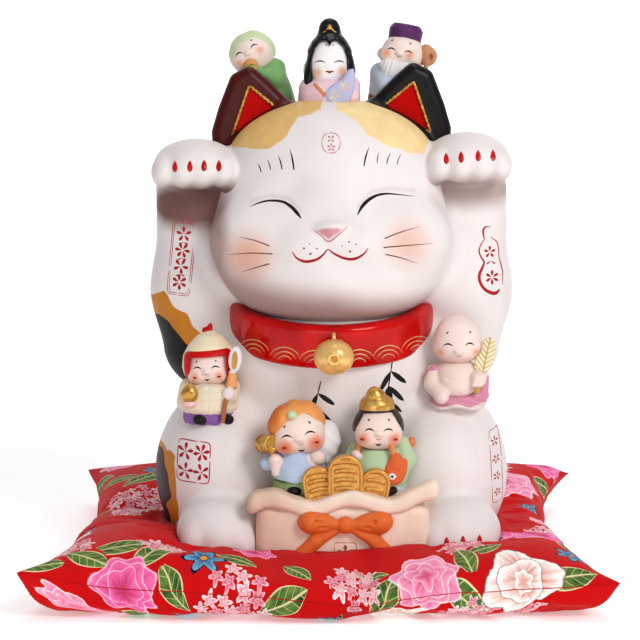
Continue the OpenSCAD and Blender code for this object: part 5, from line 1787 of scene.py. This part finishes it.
def add_mallet_man(tints, inks):
    doll = Doll("mallet_man", "mallet_man_head", (0, -2, 31), (13.6, 12, 11.6), nod=7, lift=-0.02, ears=0)
    doll.add_head(tints["ruddy_skin"], ((-0.55, -0.4), (0.62, -0.36)), 0.3)

    def clothes(p):
        d = lathe(p, (0, 0, 0), [(11.2, 0), (12.2, 1.5), (11.8, 5.4)], 0.6)
        tunic = lathe(p, (0, 0, 0), [(12.6, 6.4), (13.0, 8.4), (12.6, 14), (8, 20.5)], 0.8)
        tunic = shared(tunic, 5.6 + 0.16 * np.abs(p[:, 0] + 1) - p[:, 2], 0.6)
        d = np.minimum(d, tunic)
        d = join(d, bone(p, (-11, 0, 16.5), (-15.4, -3.4, 14.6), 4.4, 3.8), 1.6)
        d = join(d, bone(p, (-11.6, -8.5, 10.4), (-11.4, -8.0, 17.2), 1.6, 3.5), 0.4)
        d = join(d, bone(p, (10, 0, 17), (9.8, -7, 18.3), 4.4, 4.3), 0.8)
        belt = np.abs(p[:, 2] - 8.6) - 0.2
        d = d + 0.25 * np.exp(-(belt / 0.5) ** 2) + folds(p, 9, 0.22, 0.4, 0, 16)
        return join(d, egg(p, (-1.9, -11.8, 2.0), (3.4, 3.0, 2.2)), 0.3)

    def cap(p):
        d = join(egg(p, (0.2, 2, 35.0), (14.0, 12.6, 11.4)), egg(p, (-8, -5, 36), (7.0, 7, 8.5), 30), 3)
        opening = join(egg(p, (1.5, -15, 29), (13.4, 13.6, 10.8), -14),
                       block(p, (0, -14, 20), (18, 16, 10), 2), 3)
        d = carve(d, opening, 1.0)
        d = np.maximum(d, -egg(p, (0, -2, 31), (13.4, 11.8, 11.4)))
        d = d + 0.3 * np.cos(p[:, 0] * 0.7 + p[:, 2] * 0.25)
        d = shared(d, 28.5 - p[:, 2], 1)
        return join(d, egg(p, (-2.9, -11.6, 40.6), (2.5, 2.3, 2.4)), 0.3)

    def hammer(p):
        q = turned_about_y(p, (-15.8, -7, 25.2), -12)
        a = math.radians(35)
        u = (q[:, 0] + 15.8) * math.sin(a) - (q[:, 1] + 7) * math.cos(a)
        v = np.hypot((q[:, 0] + 15.8) * math.cos(a) + (q[:, 1] + 7) * math.sin(a), q[:, 2] - 25.2)
        barrel = np.hypot(np.maximum(v - 3.6, 0), np.maximum(np.abs(u) - 4.0, 0)) - 0.9
        rings = np.hypot(v - 4.5, np.abs(u) - 3.4) - 0.5
        dish = np.maximum(v - 3.0, 4.3 - u)
        return join(carve(join(barrel, rings, 0.4), dish, 0.5),
                    bone(p, (-13.6, -7.6, 21.4), (-11.8, -8.4, 17.5), 1.3, 1.3), 0.6)

    def bag_of_rice(p):
        d = join(egg(p, (12.6, 4.5, 25.5), (9.0, 8.6, 10.6), 4), egg(p, (10.5, 2, 18), (5.2, 5.2, 5.2)), 5)
        return d + 0.25 * np.cos(p[:, 2] * 0.8 + p[:, 0] * 0.7)

    doll.clay("mallet_man_clothes", clothes, (-21, -16, -1), (17, 14, 24), tints["tunic"], "blue_glaze",
              paint={"trousers": lambda p: p[:, 2] - 6.0 - 0.16 * np.abs(p[:, 0] + 1),
                     "shoe": lambda p: egg(p, (-1.9, -11.8, 2.0), (3.6, 3.2, 2.3)),
                     "hands": lambda p: np.minimum(bone(p, (-11.6, -8.5, 10.4), (-11.4, -8.0, 17.2), 2.2,
                                                        4.0),
                                                   egg(p, (9.8, -8.5, 18.6), (5.4, 4.6, 5.0)))})
    doll.clay("mallet_man_cap", cap, (-17, -16, 26), (17, 17, 49), tints["orange_cap"], "orange_glaze",
              paint={"bead": lambda p: egg(p, (-2.9, -11.6, 40.6), (2.6, 2.4, 2.5)),
                     "dark": lambda p: p[:, 0] + 11 - 0.5 * (p[:, 2] - 34)})
    doll.clay("mallet", hammer, (-23, -14, 15), (-9, 0, 32), tints["gold"], "gold_paint", 0.4)
    doll.clay("sack", bag_of_rice, (3, -8, 11), (24, 15, 42), tints["chalk"], "figure_white")
    doll.add_face(inks, ((-0.43, -0.02), (0.44, 0.02)), brow_z=0.37, smile_at=(0.05, -0.36),
                  mouth_at=(0.05, -0.62),
                  sparks=((-0.56, -0.42), (0.66, -0.36)))


def add_fisher(tints, inks):
    doll = Doll("fisher", "fisher_head", (0, -1.4, 32.0), (12.4, 12, 11.2), lift=0.08, ears=0,
                node_middle=(0, -1.4, 31))
    doll.add_head(tints["ruddy_skin"], ((-0.64, -0.36), (0.64, -0.36)), 0.24)

    def robe(p):
        d = lathe(p, (0, 0, 0), [(12.2, 0.4), (14, 2.5), (15.0, 8), (14, 15), (9, 21.5)], 0.6)
        d = join(d, join(bone(p, (12, 2, 24), (13.4, 0, 16), 4.2, 5.4),
                         bone(p, (13.4, 0, 16), (9.6, -8.5, 8), 5.4, 3.8), 3), 1.6)
        d = join(d, bone(p, (-11.5, 2, 20), (-13.4, -1.5, 14), 4.4, 4.8), 1.6)
        d = join(d, egg(p, (-11.4, -7.6, 19.6), (2.7, 3.2, 2.8)), 0.4)
        d = join(d, egg(p, (17.2, 1.5, 24.9), (2.1, 2.1, 2.6)), 0.3)
        d = join(d, bone(p, (-9.6, -6.8, 26), (-12.0, -6.0, 16), 1.5, 1.6), 0.3)
        d = join(d, bone(p, (6.4, -11.6, 25), (8.2, -12.8, 18), 1.6, 1.8), 0.4)
        d = d + folds(p, 8, 0.3, 0.9, 0, 18)
        return join(d, egg(p, (6.0, -12.6, 2.4), (3.4, 3.0, 2.0)), 0.3)

    parting = [(-5.8, 50), (-6.2, 43.5), (-8.6, 38.5), (-11.2, 33.5), (-13, 26), (13, 26), (11.2, 33.5),
               (8.6, 38.5),
               (6.0, 43.5), (5.6, 50)]

    def cap(p):
        brim = lathe(p, (-0.8, 0, 0), [(8.0, 41.5), (8.2, 43.5), (7.2, 46.6), (5.0, 48)], 0.9)
        ring = np.hypot(np.hypot(p[:, 0] + 0.8, p[:, 1]) - 7.0, p[:, 2] - 44.6 - 0.06 * p[:, 0]) - 1.9
        peak = join(egg(p, (-1.4, -1.5, 48.8), (5.2, 5.8, 4.2)),
                    egg(p, (-2.2, -3.4, 51.2), (2.8, 2.6, 2.6)), 2)
        d = join(join(brim, ring, 0.8), peak, 1.0)
        scalp = carve(egg(p, (0, -1.0, 32.8), (13.1, 12.6, 12.4)), plate(p, parting, -30, 0, 0.4), 0.6)
        d = np.minimum(d, shared(scalp, 30.5 - p[:, 2] + np.abs(p[:, 1]) * 0.05, 1))
        return np.maximum(d, -egg(p, (0, -1.4, 32.0), (12.2, 11.8, 11.0)))

    def sea_bream(p):
        d = egg(p, (8.4, -14.0, 12.8), (5.6, 3.2, 6.6), 16)
        d = join(d, egg(p, (7.0, -13.8, 9.4), (4.6, 3.1, 3.8)), 2)
        d = join(d, egg(p, (12.2, -13.6, 15.4), (1.6, 1.4, 3.6), 24), 2.2)
        d = join(d, egg(p, (8.6, -13.0, 19.4), (3.0, 2.0, 2.6)), 2.4)
        q = turned_about_y(p, (8.4, -14, 12.8), 16)
        u, v = (q[:, 0] - 8.4) / 1.7, (q[:, 2] - 12.8) / 1.35
        row = np.floor(v)
        cell_x = (u + 0.5 * (row % 2)) % 1 - 0.5
        scale = np.hypot(cell_x, v - row - 0.1) - 0.55
        grooves = 0.34 * np.exp(-(scale / 0.2) ** 2) * np.clip((q[:, 2] - 12.5) / 1.5, 0, 1)
        grooves = grooves * (np.abs(q[:, 0] - 8.2) < 4.2)
        gill = np.abs(np.hypot(q[:, 0] - 7.8, q[:, 2] - 9.6) - 4.2) + np.maximum(10.5 - q[:, 2], 0)
        return d + grooves + 0.4 * np.exp(-(gill / 0.35) ** 2)

    doll.clay("fisher_robe", robe, (-20, -17, -1), (21, 16, 30), tints["jade"], "green_glaze",
              paint={"hem": lambda p: p[:, 2] - 4.2,
                     "shoe": lambda p: egg(p, (6.0, -12.6, 2.4), (3.6, 3.2, 2.2)),
                     "hand": lambda p: egg(p, (-11.4, -7.8, 19.6), (3.0, 3.4, 3.1)),
                     "strap": lambda p: np.minimum.reduce([bone(p, (-9.6, -7.2, 26), (-12.0, -6.4, 16), 1.7,
                                                                1.8),
                                                           bone(p, (6.4, -11.9, 25), (8.2, -13, 18), 1.8,
                                                                2.0),
                                                           egg(p, (17.2, 1.5, 24.9), (2.3, 2.3, 2.8))])})
    doll.clay("fisher_cap", cap, (-16, -16, 28), (16, 16, 55), tints["fisher_cap"], "gold_paint",
              paint={"hair": lambda p: np.where(np.hypot(p[:, 0] + 0.8, p[:, 1]) > 9.4, -5, p[:, 2] - 42.2)})
    doll.clay("fish", sea_bream, (1, -19, 3), (17, -9, 26), tints["bream"], "orange_glaze", 0.38)
    ring = Brush(sea_bream, 0.16, -40)
    ring.dot(6.6, 10.4, 3.8)
    ring.done("fish_eye_white", inks["white"], doll.place)
    pupil = Brush(sea_bream, 0.26, -40)
    pupil.dot(6.6, 10.4, 1.6)
    pupil.done("fish_eye_pupil", inks["black"], doll.place)
    doll.add_face(inks, ((-0.38, 0.0), (0.38, 0.0)), brow_z=0.4, smile_at=(0, -0.36), mouth_at=(-0.02, -0.6),
                  sparks=((-0.68, -0.38), (0.68, -0.38)))


def figure_tints():
    # chin is the colour of the painted shade under the small figures' chins.
    blush, chin = rgb(232, 138, 84), rgb(222, 172, 158)
    dark = rgb(34, 26, 24)
    return {
        "skin": bisque("skin_clay", rgb(242, 220, 210),
                       [("chin", chin, 3.0, 0.6), ("cheek", blush, 2.0, 0.85)]),
        "ruddy_skin": bisque("ruddy_skin_clay", rgb(244, 220, 208), [("chin", chin, 3.0, 0.6),
                                                                    ("cheek", rgb(222, 104, 52), 2.6, 0.9)]),
        "pale_skin": bisque("pale_skin_clay", rgb(243, 238, 238), [("cheek", rgb(240, 170, 110), 1.8, 0.8)]),
        "hood": bisque("hood_clay", rgb(204, 218, 176)),
        "elder_robe": bisque("elder_robe_clay", rgb(118, 168, 104), [("hem", rgb(66, 34, 52), 1.2, 1)]),
        "peach": bisque("peach_clay", rgb(212, 148, 84), [("ripe", rgb(228, 205, 112), 1.2, 1)]),
        "hair": glaze("hair_glaze", rgb(24, 22, 24), rgb(12, 10, 12), 0.36),
        "kimono": bisque("kimono_clay", rgb(240, 203, 212), [("hem", rgb(246, 214, 186), 1.5, 0.8),
                                                              ("line", dark, 0.2, 1)]),
        "lavender": bisque("lavender_clay", rgb(186, 186, 222)),
        "slate": bisque("slate_clay", rgb(192, 204, 220), [("hem", rgb(118, 74, 52), 0.8, 1)]),
        "plum": bisque("plum_clay", rgb(86, 42, 92), roughness=0.4),
        "chalk": bisque("chalk_clay", rgb(240, 236, 236)),
        "wood": bisque("wood_clay", rgb(196, 138, 100)),
        "cream_helmet": bisque("cream_clay", rgb(240, 226, 192), [("tip", rgb(190, 10, 12), 0.12, 1),
                                                             ("trim", rgb(204, 8, 12), 0.15, 1)]),
        "armour": bisque("armour_clay", rgb(238, 226, 198), [("grey", rgb(226, 226, 232), 1.5, 0.7)]),
        "skirt": bisque("skirt_clay", rgb(134, 90, 158), [("shoe", dark, 0.15, 1)]),
        "tower": gold_with("tower_gold", "hand", rgb(238, 196, 190)),
        "spear": bisque("spear_clay", rgb(178, 106, 66), [("cuff", rgb(240, 168, 104), 0.5, 1),
                                                          ("blade", rgb(236, 232, 234), 0.15, 1),
                                                          ("core", rgb(200, 150, 84), 0.15, 1),
                                                          ("fist", rgb(240, 226, 222), 0.3, 1)]),
        "mauve": bisque("mauve_clay", rgb(212, 140, 164), [("hem", rgb(244, 226, 222), 0.25, 1)]),
        "fan": bisque("fan_clay", rgb(243, 232, 188), [("vein", rgb(190, 140, 66), 0.3, 0.9)],
                      roughness=0.38),
        "tunic": bisque("tunic_clay", rgb(186, 206, 232), [("trousers", rgb(160, 184, 128), 0.2, 1),
                                                           ("shoe", dark, 0.15, 1),
                                                           ("hands", rgb(246, 222, 214), 0.3, 1)]),
        "orange_cap": bisque("orange_cap_clay", rgb(238, 160, 92), [("dark", rgb(214, 106, 44), 4.0, 0.9),
                                                                    ("bead", rgb(206, 218, 176), 0.15, 1)]),
        "jade": bisque("jade_clay", rgb(184, 210, 168),
                       [("hem", rgb(216, 224, 232), 0.3, 1), ("shoe", dark, 0.15, 1),
                                                        ("hand", rgb(246, 222, 214), 0.3, 1),
                                                        ("strap", rgb(226, 140, 92), 0.2, 1)]),
        "fisher_cap": gold_with("cap_gold", "hair", rgb(34, 28, 28)),
        "bream": bisque("bream_clay", rgb(226, 104, 56)),
        "gold": gold_lustre("figure_gold", rgb(232, 190, 100), rgb(158, 102, 38)),
    }


def stroke_inks():
    def ink(name, colour, roughness=0.5):
        return bisque(name, colour, roughness=roughness, shade=0.8)
    return {
        "brown": ink("brown_ink", rgb(34, 20, 18)), "black": ink("black_ink", rgb(22, 18, 18), 0.4),
        "grey": ink("grey_ink", rgb(110, 104, 108)), "dark_red": ink("dark_red_ink", rgb(150, 36, 26)),
        "green": ink("green_ink", rgb(120, 150, 70)),
        "orange": ink("orange_ink", rgb(236, 140, 90)), "white": ink("white_ink", rgb(245, 242, 240)),
        "gloss_nail": glaze("nail_glaze", rgb(204, 26, 22), rgb(160, 12, 10), 0.25),
        "seam": ink("seam_thread", rgb(186, 4, 14), 0.8),
        "crimson": ink("crimson_ink", rgb(168, 16, 30)), "rose": ink("rose_ink", rgb(196, 92, 110)),
        "umber": ink("umber_ink", rgb(112, 68, 52)), "seal": ink("seal_ink", rgb(176, 22, 40)),
        "pale_gold": gold_lustre("pale_gold_ink", rgb(240, 220, 160), rgb(196, 156, 84), 0.5),
        "gold": gold_lustre("gold_ink", rgb(206, 160, 84), rgb(120, 76, 30), 0.6),
    }


add_camera()
add_studio()
whites = white_clays()
paints = clay_paints()
add_cat(whites, paints)
add_bag(paints)
tints, inks = figure_tints(), stroke_inks()
add_face_marks(inks)
add_seals(inks)
add_small_marks(inks)
add_cushion(inks)
add_peach_elder(tints, inks)
add_lute_lady(tints, inks)
add_bearded_elder(tints, inks)
add_guardian(tints, inks)
add_fan_monk(tints, inks)
add_mallet_man(tints, inks)
add_fisher(tints, inks)
